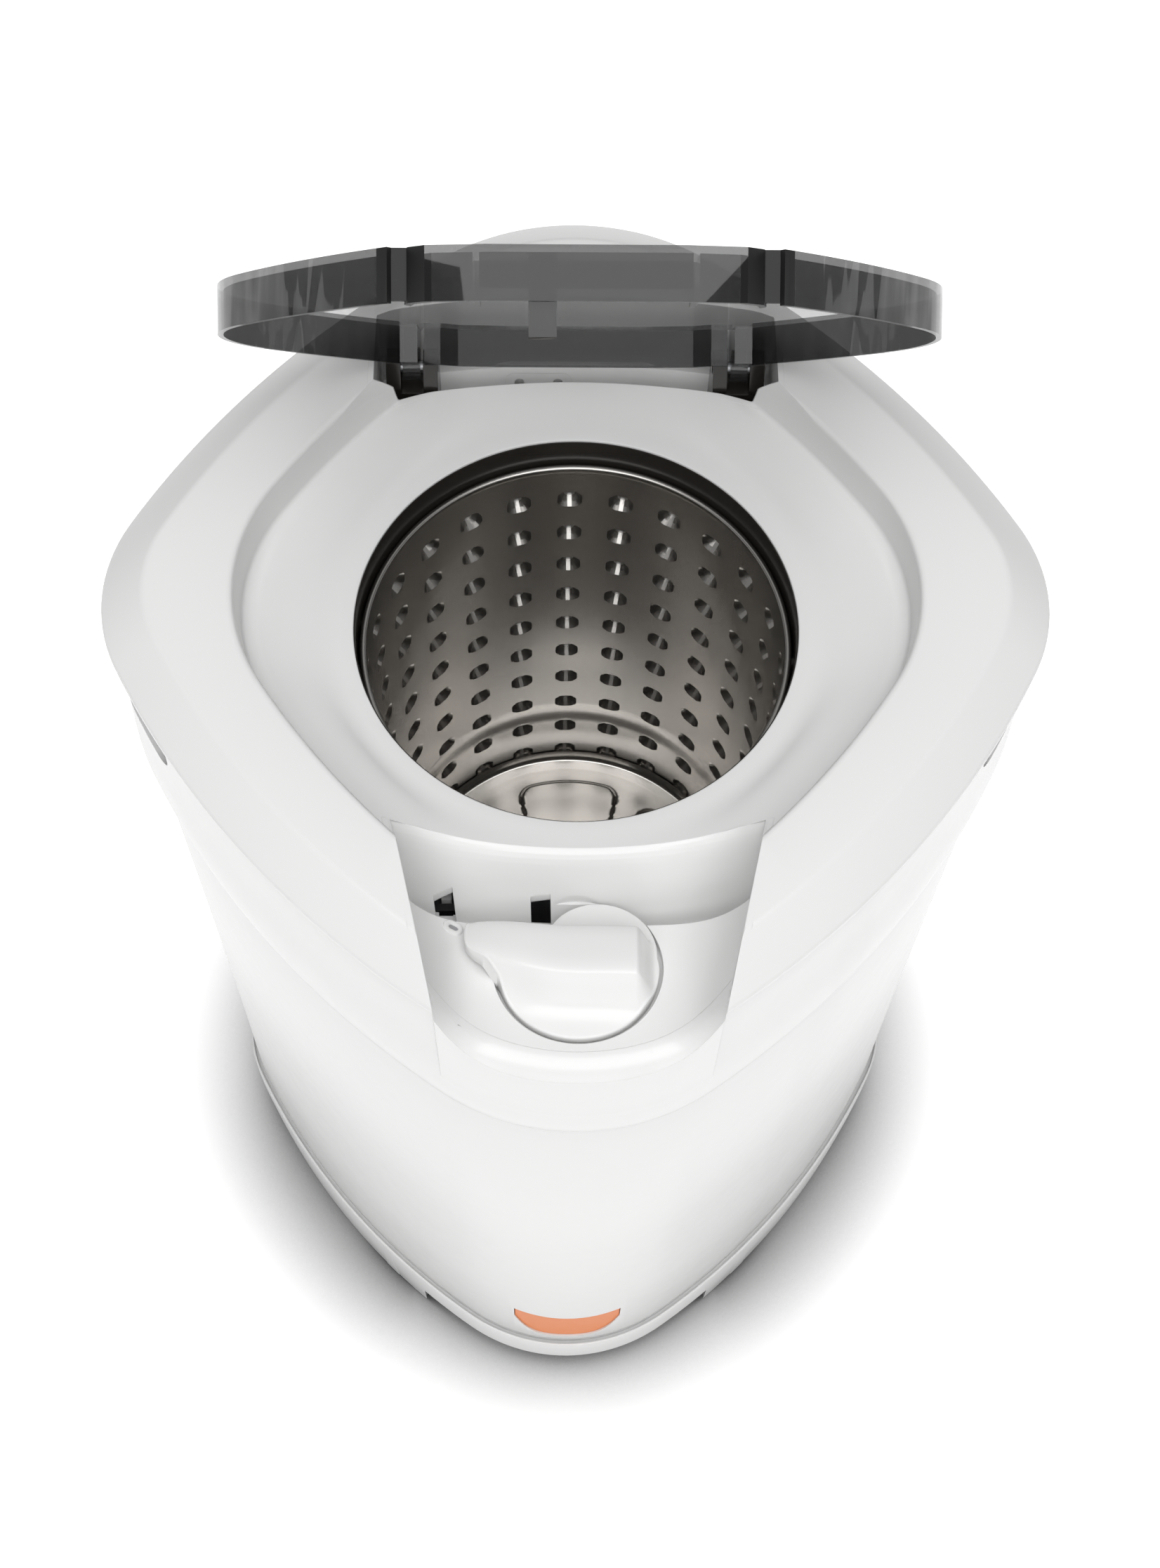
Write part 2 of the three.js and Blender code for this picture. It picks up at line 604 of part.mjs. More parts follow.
// Scoop skin: its rear edge stands over the ditch and its front edge meets the border.
function controlPanel() {
  const gap = CLEARANCE;
  const frontEdge = side => {
    let y = CHEEK_FRONT.y;
    for (let i = 0; i < 6; i++) y = rimFrontY(cheekX(y, gap) * side, PANEL_BORDER + gap + 0.7);
    return y;
  };
  const skin = drop => (row, column) => {
    const side = 2 * column - 1;
    const y = PANEL_REAR_Y + (frontEdge(side) - PANEL_REAR_Y) * row;
    const x = cheekX(y, gap) * side;
    return [x, y, scoopZ(x, y) - drop];
  };
  const cover = solid(slab(skin(0), skin(TOP_WALL), 6, 16));
  const rearWall = solid(slab(
    (row, column) => rearWallPoint(column, row, 0),
    (row, column) => rearWallPoint(column, row, TOP_WALL), 2, 16));
  const floor = prism(ditchPlan(gap), DITCH_Z - TOP_WALL, DITCH_Z).subtract(atInterlock(block(7, 7, 20), DITCH_Z));
  const cup = rod(KNOB_RADIUS + DISH_GAP + CUP_WALL, -DISH_DEPTH - CUP_WALL, 1, TURN_STEPS);
  const shaftHole = rod(TIMER_SHAFT_RADIUS + 1, -20, 10);
  const body = joined([cover, rearWall, floor]).add(onKnobAxis(cup).intersect(scoopAir(0, true)));
  return body.subtract(knobSpace(DISH_GAP)).subtract(onKnobAxis(shaftHole));
}

function rearWallPoint(column, row, back) {
  const x = cheekX(PANEL_REAR_Y - back, CLEARANCE) * (2 * column - 1);
  const top = scoopZ(x, PANEL_REAR_Y) - 0.2;
  return [x, PANEL_REAR_Y - back, top + (DITCH_Z - 1 - top) * row];
}

// Plan of the ditch floor, between the apron's foot and the panel's rear wall.
function ditchPlan(gap) {
  const shape = new THREE.Shape();
  const radius = APRON_FOOT_RADIUS - DITCH_SHELF;
  const wallY = PANEL_REAR_Y - 1;
  const half = Math.asin(cheekX(PANEL_REAR_Y + 30, gap) / radius) - 0.01;
  const steps = 16;
  shape.moveTo(cheekX(wallY, gap), wallY);
  for (let i = 0; i <= steps; i++) {
    const phi = -Math.PI / 2 + half * (1 - 2 * i / steps);
    shape.lineTo(radius * Math.cos(phi), radius * Math.sin(phi));
  }
  shape.lineTo(-cheekX(wallY, gap), wallY);
  shape.closePath();
  return shape;
}

// Places a solid made round +Z on the knob's tilted axis.
function onKnobAxis(body) {
  return body.rotate([PANEL_TILT, 0, 0].map(v => -v)).translate([0, KNOB_CENTRE_Y, PANEL_Z]);
}

// The space above the scoop and its border, or, when filled, the space below them.
function scoopAir(gap, below = false) {
  const skin = z => (row, column) => {
    const side = 2 * column - 1;
    const y = PANEL_REAR_Y + 20 + (-RIM.halfDepth - 12 - PANEL_REAR_Y - 20) * row;
    const x = (cheekX(y) + 0.02) * side;
    return [x, y, z === null ? borderZ(x, y) + gap : z];
  };
  return solid(below ? slab(skin(null), skin(DITCH_Z - 30), 12, 16) : slab(skin(PLATEAU_Z + 20), skin(null), 12, 16));
}

// Scoop height, falling away over the border's width.
function borderZ(x, y) {
  const edge = rimFrontY(Math.min(Math.abs(x), cheekX(y)), 0);
  const share = Math.min(Math.max(1 - (y - edge) / PANEL_BORDER, 0), 1.6);
  return scoopZ(x, y) - PANEL_BORDER_DROP * share ** 2;
}

// Band under the rim: upright wall, bulge and cove down to the body, with a hand grip each side.
function collar() {
  const under = SHELL_WALL;
  const top = RIM_Z - 2;
  const wall = solid(loft([
    onRim(COLLAR_TUCK - 0.8, top),
    onRim(COLLAR_TUCK - 1, COLLAR_BULGE_Z + 62),
    onRim(COLLAR_TUCK - 3.6, COLLAR_BULGE_Z + 26),
    onRim(COLLAR_TUCK - 4.4, COLLAR_BULGE_Z + 8),
    onRim(COLLAR_TUCK - 4, COLLAR_BULGE_Z),
    onRim(COLLAR_TUCK - 2, COLLAR_BULGE_Z - 7),
    onRim(BODY_INSET, COLLAR_BOTTOM_Z + 2),
    onRim(BODY_INSET + 0.6, COLLAR_BOTTOM_Z),
    onRim(BODY_INSET + under, COLLAR_BOTTOM_Z),
    onRim(COLLAR_TUCK + under - 1, COLLAR_BULGE_Z + 2),
    onRim(COLLAR_TUCK + under - 2, COLLAR_BULGE_Z + 40),
    onRim(COLLAR_TUCK + under + 1.4, top),
  ]));
  const block = solid(loft([
    onRim(0, RIM_Z + 4),
    onRim(0, COLLAR_BULGE_Z + 56),
    onRim(0.8, COLLAR_BULGE_Z + 12),
    onRim(PANEL_BORDER - 3, COLLAR_BULGE_Z + 40),
    onRim(PANEL_BORDER, COLLAR_BULGE_Z + 56),
    onRim(PANEL_BORDER, RIM_Z + 4),
  ])).intersect(prism(frontPlan(CLEARANCE, APRON_TOP_RADIUS, -RIM.halfDepth - 10), COLLAR_BULGE_Z, PLATEAU_Z));
  const front = block.subtract(scoopAir(0));
  const slot = prism(frontPlan(CLEARANCE, APRON_TOP_RADIUS, -RIM.halfDepth - 10), COLLAR_BULGE_Z + 55, PLATEAU_Z);
  const ring = wall.subtract(slot.subtract(scoopAir(0, true))).add(front).subtract(joined(gripHoles()));
  return ring.subtract(cupSpace());
}

// Long hand holes through the collar at both side tips, just below the rim.
function gripHoles() {
  return [-1, 1].map(side => {
    const shape = roundedPlan(GRIP_LENGTH, GRIP_HEIGHT, GRIP_HEIGHT / 2 - 2);
    const cut = prism(shape, -40, 40);
    return cut.rotate([90, 0, 90]).translate([side * RIM.halfWidth, 0, GRIP_Z]);
  });
}

// Rectangle with round corners, centred on the origin.
function roundedPlan(width, height, radius) {
  const shape = new THREE.Shape();
  const [x, y] = [width / 2, height / 2];
  shape.moveTo(x - radius, -y);
  shape.absarc(x - radius, -y + radius, radius, -Math.PI / 2, 0, false);
  shape.absarc(x - radius, y - radius, radius, 0, Math.PI / 2, false);
  shape.absarc(-x + radius, y - radius, radius, Math.PI / 2, Math.PI, false);
  shape.absarc(-x + radius, -y + radius, radius, Math.PI, 1.5 * Math.PI, false);
  shape.closePath();
  return shape;
}

// ---------------------------------------------------------------- body shell and base
function bodyShell() {
  const top = COLLAR_BOTTOM_Z - CLEARANCE;
  const inner = BODY_INSET + SHELL_WALL;
  const wall = solid(loft([
    onRim(BODY_INSET, top),
    onRim(BODY_INSET, SEAM_Z + CLEARANCE),
    onRim(inner, SEAM_Z + CLEARANCE),
    onRim(inner, top),
  ]));
  const drain = rod(DRAIN_RADIUS + CLEARANCE, -40, 40).rotate([90, 0, 0]).translate([DRAIN_X, RIM.halfDepth - 15, DRAIN_Z]);
  const gland = rod(GLAND_RADIUS + CLEARANCE, -40, 40).rotate([90, 0, 0]).translate([GLAND_X, RIM.halfDepth - 15, GLAND_Z]);
  return wall.subtract(drain).subtract(gland).subtract(badgeShape(0, BADGE_POCKET));
}

// Crescent on the front corner: flat-topped smile, cut straight back along Y.
function badgeShape(gap, depth) {
  const shape = new THREE.Shape();
  const half = BADGE_WIDTH / 2 - gap;
  const steps = 14;
  for (let i = 0; i <= steps; i++) {
    const x = half * (2 * i / steps - 1);
    const share = 2 * x / BADGE_WIDTH;
    shape[i ? 'lineTo' : 'moveTo'](x, BADGE_END_Z - gap - BADGE_TOP_SAG * (1 - share ** 2));
  }
  for (let i = 1; i < steps; i++) {
    const x = half * (1 - 2 * i / steps);
    const share = Math.abs(2 * x / BADGE_WIDTH);
    shape.lineTo(x, BADGE_END_Z + gap - BADGE_BOTTOM_SAG * (1 - share ** 2.4));
  }
  shape.closePath();
  const bar = prism(shape, 0, depth);
  return bar.rotate([90, 0, 0]).translate([0, BADGE_Y, 0]);
}

// Moulded skirt with a leg in each quarter, open under its front and rear corners.
function base() {
  const outer = BODY_INSET + SEAM_STEP;
  const inner = outer + SHELL_WALL + 1;
  const skirt = solid(loft([
    onRim(outer, SEAM_Z),
    onRim(outer + 1, ARCH_HEIGHT),
    onRim(outer + 3, FOOT_HEIGHT),
    onRim(inner + 3, FOOT_HEIGHT),
    onRim(inner + 1, ARCH_HEIGHT),
    onRim(inner, SEAM_Z - 10),
    onRim(inner + 4, SEAM_Z - 10),
    onRim(inner + 4, SEAM_Z),
  ]));
  const floor = solid(stack([onRim(inner - 0.5, BASE_FLOOR_Z), onRim(inner - 0.5, BASE_FLOOR_Z + SHELL_WALL)]));
  const legs = [[-1, -1], [1, -1], [1, 1], [-1, 1]].map(([sx, sy]) => {
    const wall = block(FOOT_RADIUS * 2 + 8, FOOT_RADIUS * 2 + 8, BASE_FLOOR_Z + 1 - FOOT_HEIGHT);
    return wall.translate([sx * FOOT_X, sy * FOOT_Y, (BASE_FLOOR_Z + 1 + FOOT_HEIGHT) / 2]);
  });
  const arches = [-1, 1].map(sy => {
    const cut = block(2 * ARCH_HALF_WIDTH, RIM.halfDepth, ARCH_HEIGHT + 20);
    const near = FOOT_Y + FOOT_RADIUS + FOOT_TO_ARCH;
    return cut.translate([0, sy * (near + RIM.halfDepth / 2), ARCH_HEIGHT / 2 - 10]);
  });
  const body = joined([skirt, floor, ...legs]).intersect(solid(stack([
    onRim(outer + 3, 0), onRim(outer + 1, ARCH_HEIGHT), onRim(outer, SEAM_Z)])));
  const shaftWell = rod(SHAFT_RADIUS + 12, 0, SEAM_Z + 5);
  return body.subtract(joined(arches)).subtract(shaftWell).add(drainSocket());
}

// Short pillar behind the skirt that carries the drain elbow.
function drainSocket() {
  const pillar = block(DRAIN_PILLAR.width, DRAIN_PILLAR.thickness, DRAIN_PILLAR.height);
  const middle = BASE_FLOOR_Z + SHELL_WALL + DRAIN_PILLAR.height / 2 - 2;
  return moved(pillar, DRAIN_X, RIM.halfDepth - DRAIN_PILLAR.setback, middle);
}

function rubberFoot(sx, sy) {
  const foot = turned([
    [0, 0], [FOOT_RADIUS - 2, 0], [FOOT_RADIUS, 2], [FOOT_RADIUS - 1, FOOT_HEIGHT - CLEARANCE],
    [0, FOOT_HEIGHT - CLEARANCE],
  ], 20);
  return moved(foot, sx * FOOT_X, sy * FOOT_Y, 0);
}

// ---------------------------------------------------------------- drum and tub
function drumWall() {
  const r = DRUM_RADIUS;
  const bulge = z => {
    const bead = Math.max(0, 1 - Math.abs(z - DRUM_FLOOR_Z - 62) / 12);
    return DRUM_BEAD * bead * bead * (3 - 2 * bead);
  };
  const low = DRUM_FLOOR_Z + 4;
  const high = DRUM_TOP_Z - 4;
  const levels = [low, ...[-12, -6, 0, 6, 12].map(d => DRUM_FLOOR_Z + 62 + d), high];
  const outside = levels.map(z => [r + bulge(z), z]);
  const inside = levels.slice().reverse().map(z => [r + bulge(z) - DRUM_WALL, z]);
  return turned([...outside, ...inside]);
}

function drumRim() {
  const r = DRUM_RADIUS;
  const z = DRUM_TOP_Z;
  const low = z - 4 + CLEARANCE;
  return turned([
    [r - DRUM_WALL - 1, low], [r - DRUM_WALL - 1, z - 1], [r - DRUM_WALL, z], [r + 0.6, z], [r + 1.4, z - 1], [r + 1.4, low],
  ]);
}

function drumFloor() {
  const r = DRUM_RADIUS - DRUM_WALL - CLEARANCE;
  const z = DRUM_FLOOR_Z;
  const plate = turned([
    [0, z], [r + DRUM_WALL, z], [r + DRUM_WALL, z + 3.6], [r, z + 3.6], [r, z + 10], [r - 1.4, z + 10],
    [r - 3, z + 3], [r - 16, z + 1.8], [28, z + 3.4], [22, z + 8], [0, z + 8],
  ]);
  const pads = [];
  for (let i = 0; i < DRUM_PADS; i++) {
    const plan = roundedPlan(DRUM_PAD.width, DRUM_PAD.length, DRUM_PAD.corner);
    const pad = prism(plan, z + DRUM_PAD.sunk, z + DRUM_PAD.top);
    pads.push(pad.translate([0, DRUM_PAD.reach, 0]).rotate([0, 0, 360 * i / DRUM_PADS]));
  }
  return joined([plate, ...pads]);
}

function splashRing() {
  const r = SPLASH_RADIUS;
  return turned([
    [r, DECK_Z - 9], [r + 0.2, SPLASH_BOTTOM_Z], [r + 2, SPLASH_BOTTOM_Z], [r + 2, DECK_Z - OPENING_LIP - CLEARANCE - 1],
    [OPENING_RADIUS + 9, DECK_Z - OPENING_LIP - CLEARANCE - 3], [OPENING_RADIUS + 9, DECK_Z - OPENING_LIP - CLEARANCE],
    [r - 0.2, DECK_Z - OPENING_LIP - CLEARANCE],
  ]);
}

function outerTub() {
  const r = TUB_RADIUS;
  const hub = HUB_RADIUS + 6;
  return turned([
    [r, TUB_FLOOR_Z], [r, TUB_TOP_Z - 4], [r + 6, TUB_TOP_Z - 4], [r + 6, TUB_TOP_Z], [r - TUB_WALL, TUB_TOP_Z],
    [r - TUB_WALL, TUB_FLOOR_Z + TUB_WALL], [hub + TUB_WALL, TUB_FLOOR_Z + TUB_WALL],
    [hub + TUB_WALL, TUB_FLOOR_Z + 12], [hub, TUB_FLOOR_Z + 12], [hub, MOTOR_TOP_Z + CLEARANCE],
    [hub + TUB_BOSS_WALL, MOTOR_TOP_Z + CLEARANCE], [hub + TUB_BOSS_WALL, TUB_FLOOR_Z],
  ]);
}

// ---------------------------------------------------------------- drive
function motorHousing() {
  const r = MOTOR_RADIUS;
  const bore = SHAFT_RADIUS + CLEARANCE;
  return turned([
    [bore, MOTOR_BOTTOM_Z], [r - 14, MOTOR_BOTTOM_Z], [r - 4, MOTOR_BOTTOM_Z + 8], [r - 4, MOTOR_BOTTOM_Z + 30],
    [r, MOTOR_BOTTOM_Z + 32], [r, MOTOR_TOP_Z - 32], [r - 4, MOTOR_TOP_Z - 30], [r - 4, MOTOR_TOP_Z - 8],
    [r - 14, MOTOR_TOP_Z], [bore, MOTOR_TOP_Z],
  ], 24);
}

function motorShaft() {
  return rod(SHAFT_RADIUS, MOTOR_BOTTOM_Z - 8, DRUM_FLOOR_Z - HUB_HEIGHT - CLEARANCE);
}

// Tapered hub that clamps the drum's floor to the motor shaft.
function drumHub() {
  const low = DRUM_FLOOR_Z - HUB_HEIGHT;
  return turned([
    [0, low], [HUB_RADIUS - 6, low], [HUB_RADIUS - 4, low + HUB_HEIGHT - 8], [HUB_RADIUS, low + HUB_HEIGHT - 5],
    [HUB_RADIUS, DRUM_FLOOR_Z - CLEARANCE], [0, DRUM_FLOOR_Z - CLEARANCE],
  ]);
}

// Three-armed plate under the motor.
function motorBracket() {
  const low = BRACKET_Z;
  const high = BRACKET_Z + BRACKET_THICKNESS;
  const disc = tubeWall(MOTOR_RADIUS, SHAFT_RADIUS + 12, low, high);
  const arms = mountAngles().map(angle => {
    const arm = prism(roundedPlan(BRACKET_RADIUS - 30, 40, 18), low, high);
    return arm.translate([(BRACKET_RADIUS + 30) / 2, 0, 0]).rotate([0, 0, angle]);
  });
  const collarRing = tubeWall(MOTOR_RADIUS - 15, MOTOR_RADIUS - 22, high - 1, MOTOR_BOTTOM_Z - CLEARANCE);
  const studs = mountAngles().map(angle => moved(rod(4, 0, MOUNT_STUD, 12), MOUNT_CIRCLE, 0, low - MOUNT_STUD + 1)
    .rotate([0, 0, angle]));
  return joined([disc, ...arms, collarRing, ...studs]);
}

const mountAngles = () => [90, 210, 330];

// Hollow rubber mount round a stud of the bracket, standing on the base's floor.
function suspensionMount(angle) {
  const low = BASE_FLOOR_Z + SHELL_WALL + CLEARANCE;
  const high = BRACKET_Z - CLEARANCE;
  const mid = (low + high) / 2;
  const sleeve = turned([
    [4.5, low], [MOUNT_RADIUS, low], [MOUNT_RADIUS, low + 6], [MOUNT_RADIUS - 4, mid], [MOUNT_RADIUS, high - 6],
    [MOUNT_RADIUS, high], [4.5, high],
  ], 16);
  return moved(sleeve, MOUNT_CIRCLE, 0, 0).rotate([0, 0, angle]);
}

// ---------------------------------------------------------------- controls
function timerKnob() {
  const top = KNOB_THICKNESS - DISH_DEPTH;
  const disc = turned([
    [TIMER_SHAFT_RADIUS + CLEARANCE, -DISH_DEPTH + 0.4], [KNOB_RADIUS - 1, -DISH_DEPTH + 0.4],
    [KNOB_RADIUS, -DISH_DEPTH + 1.6], [KNOB_RADIUS, top - 3],
    [KNOB_RADIUS - 3, top], [TIMER_SHAFT_RADIUS + CLEARANCE, top],
  ]);
  const bar = solid(slab(barSkin(1), barSkin(0), 12, 8));
  return joined([disc, bar, pointerLug()]).rotate([0, 0, -KNOB_REST_ANGLE]);
}

// Crowned grip bar across the knob, pointing to -X past its edge and widening to +X.
function barSkin(level) {
  const low = KNOB_THICKNESS - DISH_DEPTH - 1;
  return (row, column) => {
    const s = 2 * row - 1;
    const t = 2 * column - 1;
    const x = -KNOB_BAR_REACH + (KNOB_BAR_REACH + KNOB_BAR_TAIL) * row;
    const half = KNOB_BAR_WIDTH / 2 + KNOB_BAR_FLARE * row;
    const middle = KNOB_BAR_FLARE * row;
    const crown = (1 - 0.5 * Math.abs(t) ** 4) * (1 - 0.35 * Math.abs(s) ** 10);
    const lift = x < -KNOB_RADIUS + 3 ? KNOB_TIP_LIFT : 0;
    const draft = level ? 1 : 1.08;
    return [x * draft, middle + half * (1 - 0.12 * Math.abs(s) ** 6) * t, level ? low + 1 + KNOB_BAR_HEIGHT * crown : low + lift];
  };
}

// Flat pointer under the bar's tip, flared into the disc's edge.
function pointerLug() {
  const shape = new THREE.Shape();
  const half = KNOB_BAR_WIDTH / 2 - 1;
  shape.moveTo(0, -KNOB_RADIUS * 0.8);
  shape.lineTo(-KNOB_RADIUS * 0.62, -KNOB_RADIUS * 0.62);
  shape.quadraticCurveTo(-KNOB_RADIUS * 0.92, -half - 2, -KNOB_RADIUS - 7, -half - 1);
  shape.quadraticCurveTo(-POINTER_REACH, -half, -POINTER_REACH, -half + 5);
  shape.lineTo(-POINTER_REACH, half - 5);
  shape.quadraticCurveTo(-POINTER_REACH, half, -KNOB_RADIUS - 7, half + 1);
  shape.quadraticCurveTo(-KNOB_RADIUS * 0.92, half + 2, -KNOB_RADIUS * 0.62, KNOB_RADIUS * 0.62);
  shape.lineTo(0, KNOB_RADIUS * 0.8);
  shape.closePath();
  const low = KNOB_THICKNESS - DISH_DEPTH - 1 + KNOB_TIP_LIFT;
  const web = tubeWall(KNOB_RADIUS - 0.5, KNOB_RADIUS - 14, low - KNOB_TIP_LIFT, low + 1);
  const plate = prism(shape, low, low + 4);
  return plate.add(web.intersect(prism(shape, 0, low + 1)));
}

// Can of the clockwork timer, under the cup of the control panel.
function timerSwitch() {
  const top = -DISH_DEPTH - CUP_WALL - CLEARANCE;
  const bore = rod(TIMER_SHAFT_RADIUS + CLEARANCE, top - TIMER_SHAFT_DEPTH, top + 1, 16);
  return onKnobAxis(rod(TIMER_CAN_RADIUS, top - TIMER_CAN_HEIGHT, top).subtract(bore));
}

// Shaft that carries the knob and ends inside the timer's can.
function timerShaft() {
  const low = -DISH_DEPTH - CUP_WALL - TIMER_SHAFT_DEPTH;
  return onKnobAxis(rod(TIMER_SHAFT_RADIUS, low, KNOB_THICKNESS - DISH_DEPTH - 1 - CLEARANCE, 16));
}

// ---------------------------------------------------------------- lid
// Half-width in plan of the closed lid at y, inset by t: the well's outline with a squared nose.
function lidOutline(t) {
  const shape = new THREE.Shape();
  const inset = LID_GAP + t;
  const rearHalf = HINGE_X + LID_ARM_WIDTH / 2 - t;
  const noseHalf = LID_NOSE_HALF_WIDTH - t;
  const points = [];
  const steps = 40;
  for (let i = 0; i <= steps; i++) {
    const phi = Math.PI * (i / steps - 0.5);
    const r = diamondRadius(WELL, inset, phi);
    const [x, y] = [r * Math.cos(phi), r * Math.sin(phi)];
    if (x < noseHalf + 6 && y < 0) continue;
    if (x < rearHalf && y > 0) continue;
    points.push([x, Math.min(y, LID_REAR_Y - t)]);
  }
  const noseY = LID_NOSE_Y + t;
  const nose = [[noseHalf * 0.55, noseY], [noseHalf - 9, noseY + 4], [noseHalf - 2, noseY + 10], [noseHalf, noseY + 18]];
  const rear = [[rearHalf, LID_REAR_Y - t], [rearHalf - LID_ARM_WIDTH, LID_REAR_Y - t]];
  const blockEdge = HINGE_X - HINGE_BLOCK.width / 2 - 2;
  const waist = [
    [rearHalf - LID_ARM_WIDTH, LID_WAIST_Y - t], [blockEdge, LID_WAIST_Y - t], [blockEdge - 9, LID_WAIST_Y + 7 - t],
    [blockEdge / 2, LID_REAR_Y - 6 - t],
  ];
  const half = [...nose, ...points, ...rear, ...waist];
  half.forEach(([x, y], i) => shape[i ? 'lineTo' : 'moveTo'](x, y));
  half.slice().reverse().forEach(([x, y]) => shape.lineTo(-x, y));
  shape.closePath();
  return shape;
}

// Thin smoked moulding: plate, skirt all round, two hinge arms, cross ribs and the latch hook.
function lid() {
  const low = LID_PLATE_Z - LID_SKIRT;
  const cap = prism(lidOutline(0), low, LID_PLATE_Z);
  const hollow = prism(lidOutline(LID_WALL), low - 1, LID_PLATE_Z - LID_WALL);
  const ribs = [-LID_RIB_X, LID_RIB_X].map(x => block(LID_WALL, 26, LID_SKIRT - 1)
    .translate([x, LID_NOSE_Y + LID_WALL + 12.5, LID_PLATE_Z - (LID_SKIRT - 1) / 2]));
  const bridge = block(2 * LID_RIB_X, LID_WALL, LID_SKIRT - 8)
    .translate([0, LID_NOSE_Y + LID_WALL + 24, LID_PLATE_Z - (LID_SKIRT - 8) / 2]);
  const arms = [-1, 1].map(side => {
    const arm = prism([
      [HINGE_Y - 30, LID_PLATE_Z - LID_WALL], [HINGE_Y - 30, low], [HINGE_Y - 12, low], [HINGE_Y - HINGE_EYE, HINGE_Z - 4],
      [HINGE_Y - HINGE_EYE + 4, HINGE_Z - HINGE_EYE], [HINGE_Y + HINGE_EYE - 4, HINGE_Z - HINGE_EYE],
      [HINGE_Y + HINGE_EYE, HINGE_Z - 2], [LID_REAR_Y - 1, low + 4], [LID_REAR_Y - 1, LID_PLATE_Z - LID_WALL],
    ].reverse(), -LID_ARM_WIDTH / 2, LID_ARM_WIDTH / 2);
    return arm.rotate([90, 0, 90]).translate([side * HINGE_X, 0, 0]);
  });
  const hookY = LID_NOSE_Y + LID_WALL + HOOK_SETBACK;
  const hook = block(HOOK_WIDTH, 9, HOOK_LENGTH + 2).translate([HOOK_X, hookY, LID_PLATE_Z - HOOK_LENGTH / 2 - 1]);
  const barb = block(HOOK_WIDTH, 12, 3).translate([HOOK_X, hookY + 1.5, LID_PLATE_Z - HOOK_LENGTH + 0.5]);
  const pinBore = rod(HINGE_PIN_RADIUS + CLEARANCE, -RIM.halfWidth, RIM.halfWidth).rotate([0, 90, 0]).translate([0, HINGE_Y, HINGE_Z]);
  return cap.subtract(hollow).add(joined([...ribs, bridge, ...arms, hook, barb])).subtract(pinBore);
}

// Turns a closed-lid solid about the hinge line to the open angle.
function openLid(body) {
  return body.translate([0, -HINGE_Y, -HINGE_Z]).rotate([-LID_OPEN, 0, 0]).translate([0, HINGE_Y, HINGE_Z]);
}

// Black clevis block on the channel's floor, with the arm's slot cut through it.
function hingeBlock(side) {
  const { width, depth, height } = HINGE_BLOCK;
  const low = VALLEY_Z + CLEARANCE;
  const body = prism([
    [-depth / 2, 0], [depth / 2, 0], [depth / 2, height - 5], [depth / 2 - 5, height], [-depth / 2 + 8, height],
    [-depth / 2, height - 12],
  ], -width / 2, width / 2).rotate([90, 0, 90]).translate([side * HINGE_X, HINGE_Y, low]);
  const slot = block(LID_ARM_WIDTH + 2.8, depth + 2, height).translate([side * HINGE_X, HINGE_Y, HINGE_Z - HINGE_EYE - 1.2 + height / 2]);
  const bore = hingePin(side, CLEARANCE);
  return body.subtract(slot).subtract(bore);
}

function hingePin(side, gap = 0) {
  const half = HINGE_BLOCK.width / 2 + (gap ? 5 : -0.5);
  return rod(HINGE_PIN_RADIUS + gap, -half, half).rotate([0, 90, 0]).translate([side * HINGE_X, HINGE_Y, HINGE_Z]);
}

// ---------------------------------------------------------------- small parts
// Places a solid under the outer latch slot, with its centre at height z.
function atInterlock(body, z) {
  return body.translate([SLOT_X[0], -Math.sqrt(SLOT_CIRCLE ** 2 - SLOT_X[0] ** 2), z]);
}

// Switch under the ditch floor that stops the motor when the lid is up.
function interlockSwitch() {
  const top = DITCH_Z - TOP_WALL - CLEARANCE;
  const well = PLUNGER_SIZE + 2 * CLEARANCE;
  const housing = atInterlock(block(18, 13, INTERLOCK_HEIGHT), top - INTERLOCK_HEIGHT / 2);
  return housing.subtract(atInterlock(block(well, well, 2 * PLUNGER_DEPTH), top));
}

function interlockPlunger() {
  const low = DITCH_Z - TOP_WALL - PLUNGER_DEPTH + PLUNGER_TRAVEL;
  const height = DITCH_Z + 1 - low;
  return atInterlock(block(PLUNGER_SIZE, PLUNGER_SIZE, height), low + height / 2);
}

function capacitor() {
  const can = rod(CAPACITOR.radius, 0, CAPACITOR.height, CAPACITOR.sides);
  return can.translate([0, CAPACITOR.y, BASE_FLOOR_Z + SHELL_WALL + CLEARANCE]);
}

// Pipe that carries the water out through the rear of the body.
function drainOutlet() {
  const low = rearWallY(DRAIN_X) - DRAIN_LENGTH / 2 - 14;
  const pipe = rod(DRAIN_RADIUS, 0, DRAIN_LENGTH, 24).subtract(rod(DRAIN_RADIUS - 2.5, 4, DRAIN_LENGTH + 1, 24));
  return pipe.rotate([-90, 0, 0]).translate([DRAIN_X, low, DRAIN_Z]);
}

// Place in plan of the body's rear face at x.
const rearWallY = x => -rimFrontY(x, BODY_INSET);

// Moulded cable entry in the rear of the body, left empty.
function cableGland() {
  const low = rearWallY(GLAND_X) - 22;
  const sleeve = rod(GLAND_RADIUS, 0, 28, 24).subtract(rod(GLAND_RADIUS - 4, -1, 40, 20));
  return sleeve.rotate([-90, 0, 0]).translate([GLAND_X, low, GLAND_Z]);
}

